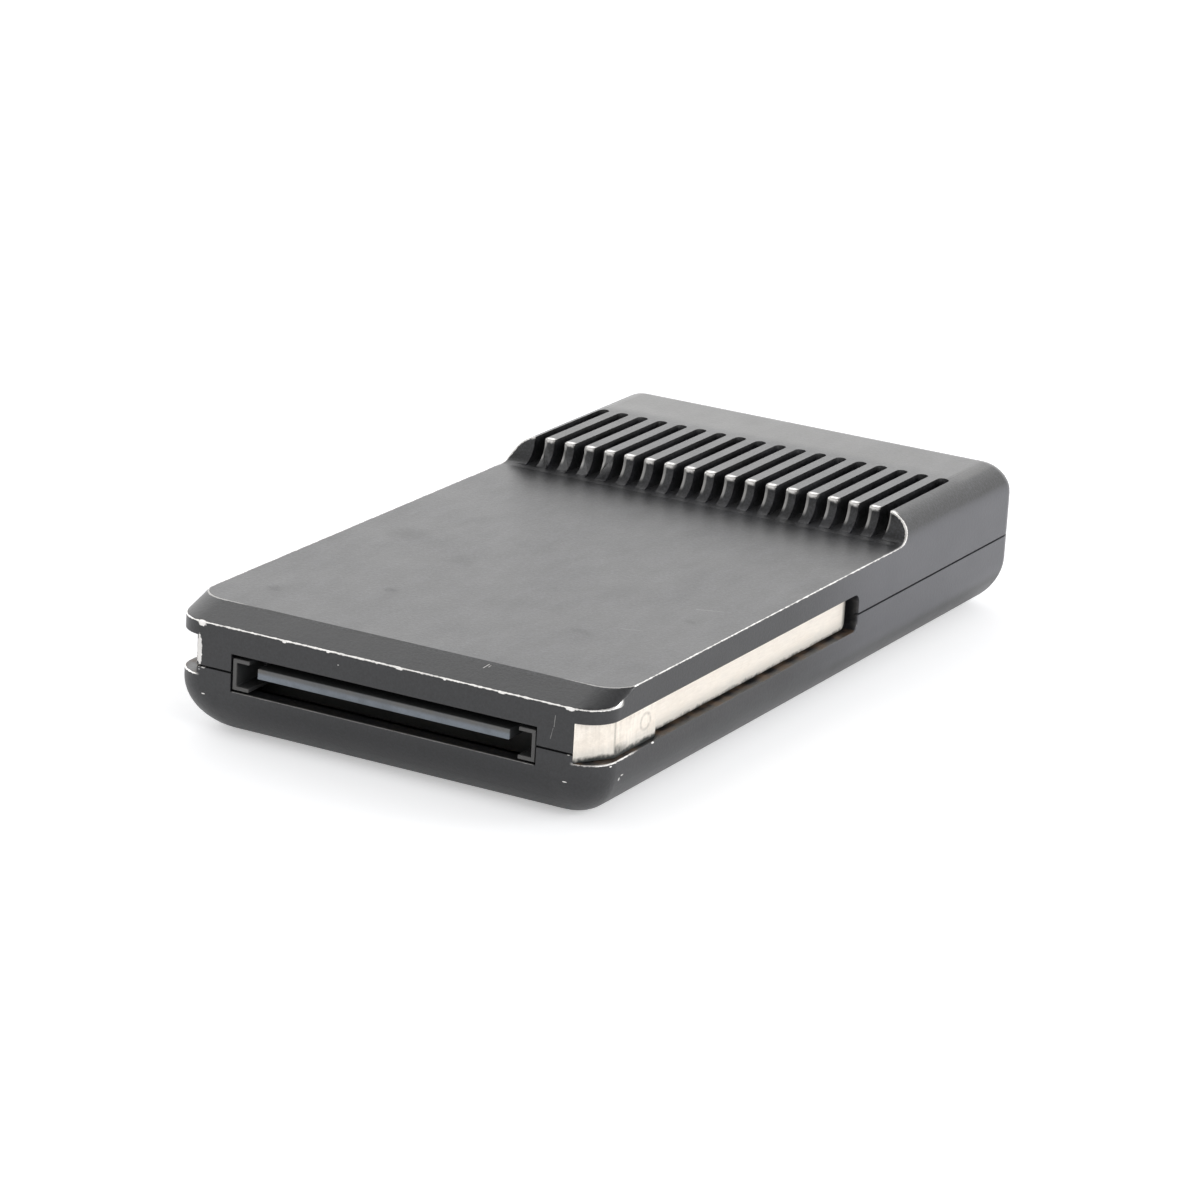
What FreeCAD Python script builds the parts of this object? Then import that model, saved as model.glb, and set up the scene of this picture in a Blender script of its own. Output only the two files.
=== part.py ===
import FreeCAD, Part
import math
import os
import re
import Sketcher
from FreeCAD import Vector

# A removable solid-state capture drive: a two-piece machined aluminium case with a finned grip,
# metal guide rails in its side grooves, a serial drive connector at the front, and a carrier
# board with a plug-in flash module inside.
# X is across the width, +Y runs from the connector to the grip, +Z is up. While a piece is being
# made, Y is measured from the front face. Each finished piece is then moved back by half the
# body's length, so that the origin is at the centre of the underside.

SIZES = {
    # The outside of the case
    "front_corner_radius": 3.95,
    "rear_corner_radius": 3.0,
    "base_edge_radius": 6.5,
    "rear_base_radius": 4.7,
    "grip_edge_radius": 4.0,
    "deck_drop": 3.5,
    "nose_drop": 1.5,
    "nose_depth": 4.5,
    # The finned grip
    "grip_length": 31.3,
    "fin_tip_radius": 0.4,
    "fin_margin": 3.135,
    "slot_width": 1.5,
    "slot_length": 17.3,
    "slot_depth": 3.35,
    "slot_count": 18,
    # The walls and the joint between the two halves
    "case_wall": 2.1,
    "case_floor": 2.2,
    "front_wall": 3.0,
    "inner_wall": 1.65,
    "roof_thickness": 1.8,
    "lip_height": 7.55,
    "lip_chamfer": 0.1,
    "rim_height": 0.95,
    "seam_step": 1.0,
    "seam_gap": 0.25,
    "seam_depth": 0.6,
    "spigot_clearance": 0.1,
    "spigot_height": 0.8,
    # The guide grooves and their rails
    "groove_cover": 1.7,
    "groove_end": 63.8,
    "groove_end_radius": 1.2,
    "lead_in_width": 3.5,
    "lead_in_length": 4.45,
    "lead_in_wall": 1.9,
    "nose_rail_depth": 0.66,
    "nose_rail_end": 13.9,
    "rail_step": 0.55,
    "rail_depth": 1.2,
    "rail_end_gap": 1.3,
    "rail_end_radius": 0.9,
    "rail_clearance": 0.05,
    "rail_lift": 0.3,
    # The carrier board
    "board_rise": 2.6,
    "board_thickness": 1.2,
    "board_side_gap": 0.6,
    "board_front": 8.0,
    "board_rear_gap": 2.2,
    # The connector
    "plug_side_room": 4.53,
    "plug_recess": 0.1,
    "plug_clearance": 0.21,
    "window_gap_below": 0.27,
    "window_gap_above": 0.49,
    "tongue_side_gap": 1.2,
    "tongue_thickness": 1.23,
    "tongue_lift": 2.57,
    "post_lift": 0.62,
    "post_height": 3.79,
    "post_reach": 2.17,
    "post_wall": 0.47,
    "plug_block_front": 6.4,
    "plug_block_depth": 4.6,
    "plug_block_cover": 0.29,
    "board_edge_clearance": 0.1,
    "contact_pitch": 1.27,
    "contact_width": 0.84,
    "contact_thickness": 0.15,
    "contact_recess": 0.5,
    "contact_foot": 0.8,
    "contact_margin": 1.2,
    "contact_group_gap": 5.6,
    "signal_count": 7,
    "power_count": 15,
    "bracket_thickness": 0.3,
    "bracket_length": 3.0,
    "bracket_height": 2.5,
    "bracket_foot": 1.4,
    # The screws
    "boss_radius": 2.7,
    "case_screw_inset": 9.45,
    "case_screw_front": 17.0,
    "case_screw_rear_inset": 10.8,
    "case_screw_radius": 1.22,
    "case_screw_length": 10.35,
    "case_hole_clearance": 0.13,
    "thread_clearance": 0.05,
    "case_head_radius": 2.3,
    "case_head_height": 1.3,
    "case_head_recess": 0.15,
    "case_head_clearance": 0.1,
    "board_screw_inset": 3.5,
    "board_screw_place": 57.0,
    "board_boss_radius": 2.0,
    "board_screw_radius": 0.8,
    "board_screw_length": 3.0,
    "board_hole_clearance": 0.3,
    "board_head_radius": 1.9,
    "board_head_height": 1.3,
    # The flash module, its socket and its standoff
    "socket_side_step": 0.05,
    "socket_gap": 1.6,
    "socket_depth": 8.0,
    "socket_height": 4.2,
    "module_lift": 2.0,
    "module_thickness": 0.8,
    "module_width": 22.0,
    "module_length": 80.0,
    "module_rear_gap": 8.8,
    "module_tab_step": 1.1,
    "module_tab_length": 4.0,
    "tab_clearance": 0.05,
    "notch_radius": 1.75,
    "standoff_radius": 2.2,
    "module_screw_radius": 0.95,
    "module_head_radius": 2.75,
    "module_head_height": 0.7,
    "socket_contact_pitch": 1.0,
    "socket_contact_width": 0.3,
    "socket_contact_length": 0.7,
    "socket_contact_count": 18,
    # The chips and their cooling pads
    "chip_height": 1.2,
    "chip_width": 12.0,
    "controller_gap": 4.0,
    "controller_length": 12.0,
    "cache_length": 8.0,
    "chip_gap": 3.0,
    "flash_gap": 4.0,
    "flash_rear_gap": 6.0,
    "pad_thickness": 1.0,
    "pad_margin": 0.5,
    "pedestal_margin": 2.0,
    "pedestal_height": 2.7,
    # The small parts on the module and on the board
    "small_part_height": 0.8,
    "tall_part_height": 1.6,
    "power_chip_width": 3.0,
    "crystal_width": 2.5,
    "crystal_length": 3.2,
    "module_capacitor_width": 1.0,
    "module_capacitor_length": 0.5,
    "module_capacitor_height": 0.4,
    "module_capacitor_front": 8.0,
    "module_capacitor_rear_gap": 15.0,
    "module_capacitor_rows": 8,
    "side_parts_inset": 7.5,
    "inductor_width": 4.0,
    "inductor_place": 28.5,
    "regulator_width": 3.0,
    "regulator_place": 35.5,
    "id_chip_width": 4.0,
    "id_chip_length": 5.0,
    "id_chip_place": 32.5,
    "capacitor_width": 1.6,
    "capacitor_length": 0.8,
    "capacitor_spacing": 3.0,
    "capacitor_place": 40.0,
    "front_capacitor_place": 24.0,
    "protection_gap": 2.4,
    "protection_width": 2.5,
    "protection_length": 1.0,
    "protection_spacing": 6.0,
    "protection_count": 4,
}

# Places that several pieces share, worked out from the sizes. What the case holds, the room round it
# and the walls add up to the outer size.
DERIVED = {
    "tongue_width": "2 * contact_margin + (signal_count + power_count - 2) * contact_pitch"
                    " + contact_group_gap",
    "plug_half": "tongue_width / 2 + tongue_side_gap + post_reach",
    "core_inside": "plug_half + plug_side_room",
    "core_face": "core_inside + inner_wall",
    "half_width": "core_face + spigot_clearance + case_wall",
    "body_width": "2 * half_width",
    "body_length": "module_rear + module_rear_gap",
    "body_height": "deck + deck_drop",
    "roof": "pad_top + pedestal_height",
    "deck": "roof + roof_thickness",
    "nose": "deck - nose_drop",
    "cove_radius": "deck_drop - fin_tip_radius",
    "grip_front": "body_length - grip_length",
    "cove_start": "grip_front - cove_radius",
    "slot_end": "grip_front + slot_length",
    "fin_pitch": "(body_width - 2 * fin_margin - slot_width) / (slot_count - 1)",
    "front_seam": "lip_height + rim_height",
    "rear_seam": "front_seam + seam_step",
    "groove_top": "nose - groove_cover",
    "lead_in_edge": "half_width - lead_in_width",
    "lead_in_end": "lead_in_wall + (core_face - lead_in_edge) * lead_in_length"
                   " / (lead_in_width - nose_rail_depth)",
    "rail_end": "groove_end - rail_end_gap",
    "board_bottom": "case_floor + board_rise",
    "board_top": "board_bottom + board_thickness",
    "board_half": "core_inside - board_side_gap",
    "board_rear": "body_length - case_wall - board_rear_gap",
    "tongue_bottom": "board_top + tongue_lift",
    "tongue_top": "tongue_bottom + tongue_thickness",
    "post_bottom": "board_top + post_lift",
    "post_top": "post_bottom + post_height",
    "window_half": "plug_half + plug_clearance",
    "window_bottom": "post_bottom - window_gap_below",
    "window_top": "post_top + window_gap_above",
    "plug_block_rear": "plug_block_front + plug_block_depth",
    "plug_block_top": "post_top + plug_block_cover",
    "contact_bottom": "tongue_bottom - contact_thickness",
    "signal_start": "contact_margin - tongue_width / 2",
    "power_end": "tongue_width / 2 - contact_margin",
    "case_screw_across": "half_width - case_screw_inset",
    "case_screw_rear": "body_length - case_screw_rear_inset",
    "case_screw_tip": "case_head_recess + case_screw_length",
    "case_hole_radius": "case_screw_radius + case_hole_clearance",
    "case_thread_radius": "case_screw_radius + thread_clearance",
    "board_screw_across": "board_half - board_screw_inset",
    "board_thread_radius": "board_screw_radius + thread_clearance",
    "protection_front": "plug_block_rear + protection_gap",
    "socket_front": "protection_front + protection_length + socket_gap",
    "socket_rear": "socket_front + socket_depth",
    "socket_width": "module_width - 2 * socket_side_step",
    "module_tab_width": "module_width - 2 * module_tab_step",
    "module_bottom": "board_top + module_lift",
    "module_top": "module_bottom + module_thickness",
    "module_front": "socket_rear - module_tab_length",
    "module_rear": "module_front + module_length",
    "module_thread_radius": "module_screw_radius + thread_clearance",
    "chip_top": "module_top + chip_height",
    "pad_top": "chip_top + pad_thickness",
    "controller_front": "socket_rear + controller_gap",
    "cache_front": "controller_front + controller_length + chip_gap",
    "flash_front": "cache_front + cache_length + chip_gap",
    "flash_rear": "module_rear - flash_rear_gap",
    "flash_length": "(flash_rear - flash_front - flash_gap) / 2",
    "module_parts_across": "(module_width + chip_width) / 4",
    "side_parts_across": "board_half - side_parts_inset",
    "module_capacitor_start": "controller_front + module_capacitor_front",
    "module_capacitor_step": "(module_rear - module_capacitor_rear_gap - module_capacitor_start)"
                             " / (module_capacitor_rows - 1)",
}

doc = FreeCAD.newDocument("capture_drive")
sheet = doc.addObject("Spreadsheet::Sheet", "Sizes")
for row, (alias, value) in enumerate(SIZES.items(), start=1):
    sheet.set(f"A{row}", alias.replace("_", " "))
    sheet.set(f"B{row}", str(value))
    sheet.setAlias(f"B{row}", alias)
doc.recompute()

WORD = re.compile(r"[a-z_]+")
PARTS = []


def size(alias):
    """A size read back from the sheet."""
    return float(sheet.get(alias))


def in_cells(found):
    """A word of a formula as a cell of the sheet, or as what it is worked out from."""
    word = found.group()
    if word in SIZES:
        return "Sizes." + word
    return f"({WORD.sub(in_cells, DERIVED[word])})"


def bind(thing, prop, text):
    """Ties a property to a formula in the sheet's sizes."""
    thing.setExpression(prop, WORD.sub(in_cells, text))


def box(name, x, y, z):
    """A box between two formulas along each axis."""
    solid = doc.addObject("Part::Box", name)
    for prop, axis, (low, high) in zip(("Length", "Width", "Height"), "xyz", (x, y, z)):
        bind(solid, prop, f"({high}) - ({low})")
        bind(solid, f".Placement.Base.{axis}", low)
    return solid


def across(middle, width):
    """The two ends of a stretch about its middle."""
    return (f"{middle} - {width} / 2", f"{middle} + {width} / 2")


def place(solid, x, y, z):
    """Puts a solid at three formulas."""
    for axis, text in zip("xyz", (x, y, z)):
        bind(solid, f".Placement.Base.{axis}", text)
    return solid


def post(name, radius, x, y, z):
    """An upright cylinder between two heights."""
    solid = doc.addObject("Part::Cylinder", name)
    bind(solid, "Radius", radius)
    bind(solid, "Height", f"({z[1]}) - ({z[0]})")
    return place(solid, x, y, z[0])


def cone(name, low_radius, high_radius, x, y, z):
    """An upright cone between two heights."""
    solid = doc.addObject("Part::Cone", name)
    bind(solid, "Radius1", low_radius)
    bind(solid, "Radius2", high_radius)
    bind(solid, "Height", f"({z[1]}) - ({z[0]})")
    return place(solid, x, y, z[0])


def fuse(name, pieces):
    """One solid from several."""
    solid = doc.addObject("Part::MultiFuse", name)
    solid.Shapes = pieces
    solid.Refine = True
    return solid


def cut(name, base, tools):
    """The base without the tools."""
    solid = doc.addObject("Part::Cut", name)
    solid.Base = base
    solid.Tool = tools[0] if len(tools) == 1 else fuse(name + "_tools", tools)
    solid.Refine = True
    return solid


def common(name, base, tool):
    """What two solids share."""
    solid = doc.addObject("Part::Common", name)
    solid.Base = base
    solid.Tool = tool
    solid.Refine = True
    return solid


def group(name, pieces):
    """Separate solids kept together in one node."""
    solid = doc.addObject("Part::Compound", name)
    solid.Links = pieces
    return solid


def blended(kind, name, base, radius_of):
    """A solid with a fillet or chamfer on each edge for which radius_of gives a size."""
    doc.recompute()
    solid = doc.addObject(kind, name)
    solid.Base = base
    edges = []
    for number, edge in enumerate(base.Shape.Edges, start=1):
        radius = radius_of(edge.BoundBox, base.Shape.BoundBox)
        if radius:
            edges.append((number, radius, radius))
    solid.Edges = edges
    return solid


def finish(solid, label):
    """Names a finished piece and moves the origin to the middle of the underside."""
    solid.Label = label
    bind(solid, ".Placement.Base.y", "-body_length / 2")
    PARTS.append(solid)


def new_body(name):
    """An empty body for features drawn on its origin planes."""
    return doc.addObject("PartDesign::Body", name)


def sketch_on(body, name, role="XY_Plane", height=None):
    """A sketch on an origin plane of the body, lifted by a formula where one is given."""
    sketch = body.newObject("Sketcher::SketchObject", name)
    plane = next(plane for plane in body.Origin.OriginFeatures if plane.Role == role)
    sketch.AttachmentSupport = [(plane, "")]
    sketch.MapMode = "FlatFace"
    if height:
        bind(sketch, ".AttachmentOffset.Base.z", height)
    return sketch


def hold(sketch, kind, text, rough, *where):
    """A measured constraint of the sketch, tied to a formula; rough is its value as drawn."""
    number = sketch.addConstraint(Sketcher.Constraint(kind, *where, rough))
    bind(sketch, f"Constraints[{number}]", text)


def hold_radius(sketch, edge, radius):
    """Holds the radius of a circle or an arc at a formula."""
    hold(sketch, "Radius", radius, sketch.Geometry[edge].Radius, edge)


def hold_point(sketch, edge, end, x, y):
    """Holds a point of the sketch at two formulas."""
    drawn = sketch.getPoint(edge, end)
    hold(sketch, "DistanceX", x, drawn.x, -1, 1, edge, end)
    hold(sketch, "DistanceY", y, drawn.y, -1, 1, edge, end)


def polygon(sketch, points):
    """A closed outline through points given as formulas. It starts as a regular polygon."""
    count = len(points)
    turn = 2 * math.pi / count
    rough = [Vector(math.cos(number * turn), math.sin(number * turn), 0) for number in range(count)]
    for number in range(count):
        sketch.addGeometry(Part.LineSegment(rough[number], rough[(number + 1) % count]), False)
    for number in range(count):
        sketch.addConstraint(Sketcher.Constraint("Coincident", number, 2, (number + 1) % count, 1))
    for number, (x, y) in enumerate(points):
        hold_point(sketch, number, 1, x, y)


def rectangle(sketch, x, y):
    """A rectangle between two formulas along each axis of the sketch."""
    polygon(sketch, [(x[0], y[0]), (x[1], y[0]), (x[1], y[1]), (x[0], y[1])])


def circle(sketch, x, y, radius):
    """A circle at two formulas."""
    number = sketch.addGeometry(Part.Circle(Vector(1, 1, 0), Vector(0, 0, 1), 1), False)
    hold_radius(sketch, number, radius)
    hold_point(sketch, number, 3, x, y)


def arc(sketch, x, y, radius, start_turn):
    """An arc that starts at a number of quarter turns, with rough sizes until it is held."""
    start = start_turn * math.pi / 2
    whole = Part.Circle(Vector(x, y, 0), Vector(0, 0, 1), radius)
    return sketch.addGeometry(Part.ArcOfCircle(whole, start, start + math.pi / 2), False)


def line(sketch, start, end):
    """A straight edge with rough ends until it is held."""
    return sketch.addGeometry(Part.LineSegment(Vector(*start, 0), Vector(*end, 0)), False)


def join(sketch, first, first_end, second, second_end, kind="Tangent"):
    """Joins two edges of the sketch at their ends, smoothly unless another kind is given."""
    sketch.addConstraint(Sketcher.Constraint(kind, first, first_end, second, second_end))


def pad(body, sketch, name, length):
    """Raises a sketch by a formula."""
    feature = body.newObject("PartDesign::Pad", name)
    feature.Profile = sketch
    bind(feature, "Length", length)
    return feature


def through_pocket(body, sketch, name):
    """Cuts a sketch right through the body, both ways."""
    feature = body.newObject("PartDesign::Pocket", name)
    feature.Profile = sketch
    feature.Type = "ThroughAll"
    feature.Midplane = True
    return feature


# How far a cutter runs past what it cuts, and how near an edge must lie to the place it is sought at
BEYOND = 1.0
NEAR = 0.05
ALL_X = (f"-half_width - {BEYOND}", f"half_width + {BEYOND}")
PAST_FRONT = f"-{BEYOND}"
PAST_REAR = f"body_length + {BEYOND}"
PAST_TOP = f"body_height + {BEYOND}"
CASE_SCREWS = [(f"{side} * case_screw_across", along)
               for side in (-1, 1) for along in ("case_screw_front", "case_screw_rear")]
BOARD_SCREWS = [(f"{side} * board_screw_across", "board_screw_place") for side in (-1, 1)]
MODULE_SCREW = ("0", "module_rear")


def base_radius():
    """The rounding under the front and the sides, which ends below the lip of the groove."""
    return min(size("base_edge_radius"), size("lip_height") - size("lip_chamfer") - size("seam_gap"))


def envelope_radius(edge, whole):
    """The rounding of each edge of the block that the case is milled from."""
    if edge.ZMax < NEAR:
        return size("rear_base_radius") if edge.YMin > whole.YMax - NEAR else base_radius()
    if edge.ZLength > BEYOND:
        return size("front_corner_radius") if edge.YMax < NEAR else size("rear_corner_radius")
    return None if edge.YMax < NEAR else size("grip_edge_radius")


block = box("case_block", ("-half_width", "half_width"), ("0", "body_length"), ("0", "body_height"))
envelope = blended("Part::Fillet", "case_envelope", block, envelope_radius)

# The side view of what is milled away over the deck: a cove runs up into the rounded fin tips
cove_guess = size("deck_drop") - size("fin_tip_radius")
tip_guess = size("fin_tip_radius")
rear_guess = block.Width.Value
front_guess = rear_guess - size("grip_length")
top_guess = block.Height.Value
deck_guess = top_guess - size("deck_drop")
deck_body = new_body("deck_cutter")
deck_sketch = sketch_on(deck_body, "deck_side_view", "YZ_Plane")
deck_line = line(deck_sketch, (-BEYOND, deck_guess), (front_guess - cove_guess, deck_guess))
cove_arc = arc(deck_sketch, front_guess - cove_guess, deck_guess + cove_guess, cove_guess, -1)
tip_arc = arc(deck_sketch, front_guess + tip_guess, top_guess - tip_guess, tip_guess, 1)
sky_guess = top_guess + BEYOND
rise_line = line(deck_sketch, (front_guess + tip_guess, top_guess), (front_guess + tip_guess, sky_guess))
sky_line = line(deck_sketch, (front_guess + tip_guess, sky_guess), (-BEYOND, sky_guess))
front_line = line(deck_sketch, (-BEYOND, sky_guess), (-BEYOND, deck_guess))
join(deck_sketch, deck_line, 2, cove_arc, 1, "Coincident")
join(deck_sketch, cove_arc, 2, tip_arc, 2, "Coincident")
join(deck_sketch, tip_arc, 1, rise_line, 1, "Coincident")
join(deck_sketch, rise_line, 2, sky_line, 1, "Coincident")
join(deck_sketch, sky_line, 2, front_line, 1, "Coincident")
join(deck_sketch, front_line, 2, deck_line, 1, "Coincident")
hold_point(deck_sketch, deck_line, 1, PAST_FRONT, "deck")
hold_point(deck_sketch, deck_line, 2, "cove_start", "deck")
hold_point(deck_sketch, cove_arc, 2, "grip_front", "deck + cove_radius")
hold_point(deck_sketch, rise_line, 1, "grip_front + fin_tip_radius", "body_height")
hold_point(deck_sketch, sky_line, 1, "grip_front + fin_tip_radius", PAST_TOP)
hold_point(deck_sketch, sky_line, 2, PAST_FRONT, PAST_TOP)
hold_radius(deck_sketch, cove_arc, "cove_radius")
hold_radius(deck_sketch, tip_arc, "fin_tip_radius")
deck_pad = pad(deck_body, deck_sketch, "deck_cutter_pad", f"body_width + 2 * {BEYOND}")
deck_pad.Midplane = True
case_form = cut("case_form", envelope, [deck_body])

# The sloped nose is the plan outline pushed back and up, so its corners keep their radius
half_guess = block.Length.Value / 2
corner_guess = size("front_corner_radius")
nose_body = new_body("nose_form")
nose_sketch = sketch_on(nose_body, "nose_outline", height="nose")
nose_front = line(nose_sketch, (corner_guess - half_guess, 0), (half_guess - corner_guess, 0))
nose_right = line(nose_sketch, (half_guess, corner_guess), (half_guess, rear_guess))
nose_rear = line(nose_sketch, (half_guess, rear_guess), (-half_guess, rear_guess))
nose_left = line(nose_sketch, (-half_guess, rear_guess), (-half_guess, corner_guess))
right_arc = arc(nose_sketch, half_guess - corner_guess, corner_guess, corner_guess, -1)
left_arc = arc(nose_sketch, corner_guess - half_guess, corner_guess, corner_guess, 2)
join(nose_sketch, nose_front, 2, right_arc, 1)
join(nose_sketch, right_arc, 2, nose_right, 1)
join(nose_sketch, nose_left, 2, left_arc, 1)
join(nose_sketch, left_arc, 2, nose_front, 1)
join(nose_sketch, nose_right, 2, nose_rear, 1, "Coincident")
join(nose_sketch, nose_rear, 2, nose_left, 1, "Coincident")
nose_sketch.addConstraint(Sketcher.Constraint("Horizontal", nose_front))
nose_sketch.addConstraint(Sketcher.Constraint("Vertical", nose_right))
nose_sketch.addConstraint(Sketcher.Constraint("Vertical", nose_left))
nose_sketch.addConstraint(Sketcher.Constraint("PointOnObject", nose_front, 1, -1))
hold_point(nose_sketch, nose_rear, 1, "half_width", "body_length")
hold_point(nose_sketch, nose_rear, 2, "-half_width", "body_length")
hold_radius(nose_sketch, right_arc, "front_corner_radius")
hold_radius(nose_sketch, left_arc, "front_corner_radius")
nose_pad = pad(nose_body, nose_sketch, "nose_pad", "nose_drop")
nose_pad.UseCustomVector = True
nose_pad.Direction = Vector(0, 1, 1)
nose_pad.AlongSketchNormal = True
bind(nose_pad, ".Direction.y", "nose_depth")
bind(nose_pad, ".Direction.z", "nose_drop")

# The upper case: deck, nose, finned grip, inner walls, screw posts and the cooling pedestal
upper_front = box("upper_front", ALL_X, (PAST_FRONT, "groove_end"), ("front_seam", "nose"))
upper_rear = box("upper_rear", ALL_X, ("groove_end", PAST_REAR), ("rear_seam", "nose"))
upper_grip = box("upper_grip", ALL_X, ("cove_start - cove_radius", PAST_REAR), ("nose", PAST_TOP))
upper_zone = fuse("upper_zone", [upper_front, upper_rear, upper_grip, nose_body])
upper_shell = common("upper_shell", case_form, upper_zone)
GROOVE_BOTTOM = "lip_height - spigot_height"
SPIGOT_Y = ("lead_in_end", "groove_end")
SPIGOT_Z = (GROOVE_BOTTOM, "front_seam")
spigot_left = box("spigot_left", ("-core_face", "-core_inside"), SPIGOT_Y, SPIGOT_Z)
spigot_right = box("spigot_right", ("core_inside", "core_face"), SPIGOT_Y, SPIGOT_Z)
upper_solid = fuse("upper_solid", [upper_shell, spigot_left, spigot_right])
upper_room = box("upper_room", ("-core_inside", "core_inside"), ("front_wall", "body_length - case_wall"),
                 ("0", "roof"))
WINDOW = (("-window_half", "window_half"), (PAST_FRONT, f"front_wall + {BEYOND}"),
          ("window_bottom", "window_top"))
upper_window = box("upper_window", *WINDOW)
# The back of the groove and of its rail, from the front corner to where it runs straight
LEAD_IN = [("lead_in_edge", "lead_in_wall"), ("core_face", "lead_in_end")]
GROOVE = [("lead_in_edge", PAST_FRONT)] + LEAD_IN + [
    ("core_face", "groove_end"), (f"(half_width + {BEYOND})", "groove_end"),
    (f"(half_width + {BEYOND})", PAST_FRONT)]
RAIL = [("lead_in_edge", "0")] + LEAD_IN + [
    ("core_face", "rail_end"), ("(half_width - rail_depth)", "rail_end"),
    ("(half_width - rail_depth)", "nose_rail_end + rail_step"),
    ("(half_width - nose_rail_depth)", "nose_rail_end"), ("(half_width - nose_rail_depth)", "lead_in_length")]


def side_prism(name, side, outline, low, high):
    """An upright prism on one side of the case, from an outline given for the right side."""
    body = new_body(name)
    sketch = sketch_on(body, name + "_plan", height=low)
    polygon(sketch, [(f"{side} * {x}", y) for x, y in outline])
    pad(body, sketch, name + "_pad", f"{high} - ({low})")
    return body


def groove_radius(edge, whole):
    """The rounded upper corner at the rear end of a groove."""
    at_end = edge.YMin > whole.YMax - NEAR and edge.ZMin > whole.ZMax - NEAR
    return size("groove_end_radius") if at_end else None


grooves = [blended("Part::Fillet", name, side_prism(name + "_body", side, GROOVE, GROOVE_BOTTOM, "groove_top"),
                   groove_radius)
           for name, side in (("groove_left", -1), ("groove_right", 1))]
SEAM_Z = ("rear_seam", "rear_seam + seam_gap")
front_relief = box("front_relief", ALL_X, (PAST_FRONT, "seam_depth"), ("front_seam", "front_seam + seam_gap"))
rear_slab = box("rear_slab", ALL_X, (f"groove_end - {BEYOND}", PAST_REAR), SEAM_Z)
rear_core_block = box("rear_core_block", ("seam_depth - half_width", "half_width - seam_depth"),
                      (f"groove_end - 2 * {BEYOND}", "body_length - seam_depth"), SEAM_Z)


def rear_core_radius(edge, whole):
    """The two upright rear edges of what the seam's relief leaves."""
    upright = edge.ZLength > NEAR and edge.YMin > whole.YMax - NEAR
    return size("rear_corner_radius") - size("seam_depth") if upright else None


rear_core = blended("Part::Fillet", "rear_core", rear_core_block, rear_core_radius)
rear_relief = cut("rear_relief", rear_slab, [rear_core])
upper_cut = cut("upper_cut", upper_solid, [upper_room, upper_window, front_relief, rear_relief] + grooves)

# One round-ended slot is milled down between two fins, then repeated across the grip
grip_body = new_body("grip_body")
grip_body.BaseFeature = upper_cut
slot_guess = size("slot_width") / 2
slot_sketch = sketch_on(grip_body, "slot_outline", height="body_height")
slot_right = line(slot_sketch, (slot_guess, 0), (slot_guess, 1))
slot_round = slot_sketch.addGeometry(
    Part.ArcOfCircle(Part.Circle(Vector(0, 1, 0), Vector(0, 0, 1), slot_guess), 0, math.pi), False)
slot_left = line(slot_sketch, (-slot_guess, 1), (-slot_guess, 0))
slot_front = line(slot_sketch, (-slot_guess, 0), (slot_guess, 0))
join(slot_sketch, slot_right, 2, slot_round, 1)
join(slot_sketch, slot_round, 2, slot_left, 1)
join(slot_sketch, slot_left, 2, slot_front, 1, "Coincident")
join(slot_sketch, slot_front, 2, slot_right, 1, "Coincident")
slot_sketch.addConstraint(Sketcher.Constraint("Vertical", slot_right))
slot_sketch.addConstraint(Sketcher.Constraint("Vertical", slot_left))
slot_sketch.addConstraint(Sketcher.Constraint("Horizontal", slot_front))
hold_radius(slot_sketch, slot_round, "slot_width / 2")
hold_point(slot_sketch, slot_round, 3, "fin_margin + slot_width / 2 - half_width",
           "slot_end - slot_width / 2")
hold(slot_sketch, "DistanceY", "cove_start", 0.0, -1, 1, slot_front, 1)
first_slot = grip_body.newObject("PartDesign::Pocket", "first_slot")
first_slot.Profile = slot_sketch
bind(first_slot, "Length", "slot_depth")
fins = grip_body.newObject("PartDesign::LinearPattern", "fins")
fins.Originals = [first_slot]
fins.Direction = (slot_sketch, ["H_Axis"])
bind(fins, "Length", "(slot_count - 1) * fin_pitch")
bind(fins, "Occurrences", "slot_count")
grip_body.Tip = fins

pedestal = box("pedestal", across("0", "(chip_width + pedestal_margin)"),
               ("controller_front - pad_margin", "flash_rear + pad_margin"), ("pad_top", "roof"))
upper_posts = [post(f"upper_post_{n}", "boss_radius", x, y, ("board_top", "roof"))
               for n, (x, y) in enumerate(CASE_SCREWS, start=1)]
upper_joined = fuse("upper_joined", [grip_body, pedestal] + upper_posts)
upper_threads = [post(f"upper_thread_{n}", "case_thread_radius", x, y,
                      (f"board_top - {BEYOND}", f"case_screw_tip + {BEYOND}"))
                 for n, (x, y) in enumerate(CASE_SCREWS, start=1)]
finish(cut("upper_case_solid", upper_joined, upper_threads), "upper_case")

# The lower case: a tub with rounded edges, a raised rim at the front and behind the grooves
lower_all = box("lower_all", ALL_X, (PAST_FRONT, PAST_REAR), (f"-{BEYOND}", "lip_height"))
lower_front = box("lower_front", ("-lead_in_edge", "lead_in_edge"), (PAST_FRONT, "lead_in_wall"),
                  ("lip_height", "front_seam"))
lower_rear = box("lower_rear", ALL_X, ("groove_end", PAST_REAR), ("lip_height", "rear_seam"))
lower_blocks = fuse("lower_blocks", [lower_all, lower_front, lower_rear])


def lower_corner_radius(edge, whole):
    """The rounded lower corner at the rear end of the grooves."""
    level = edge.ZLength < NEAR and abs(edge.ZMin - size("lip_height")) < NEAR
    at_end = edge.YLength < NEAR and abs(edge.YMin - size("groove_end")) < NEAR
    return size("groove_end_radius") if level and at_end else None


lower_zone = blended("Part::Fillet", "lower_zone", lower_blocks, lower_corner_radius)
lower_shell = common("lower_shell", envelope, lower_zone)


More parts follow.
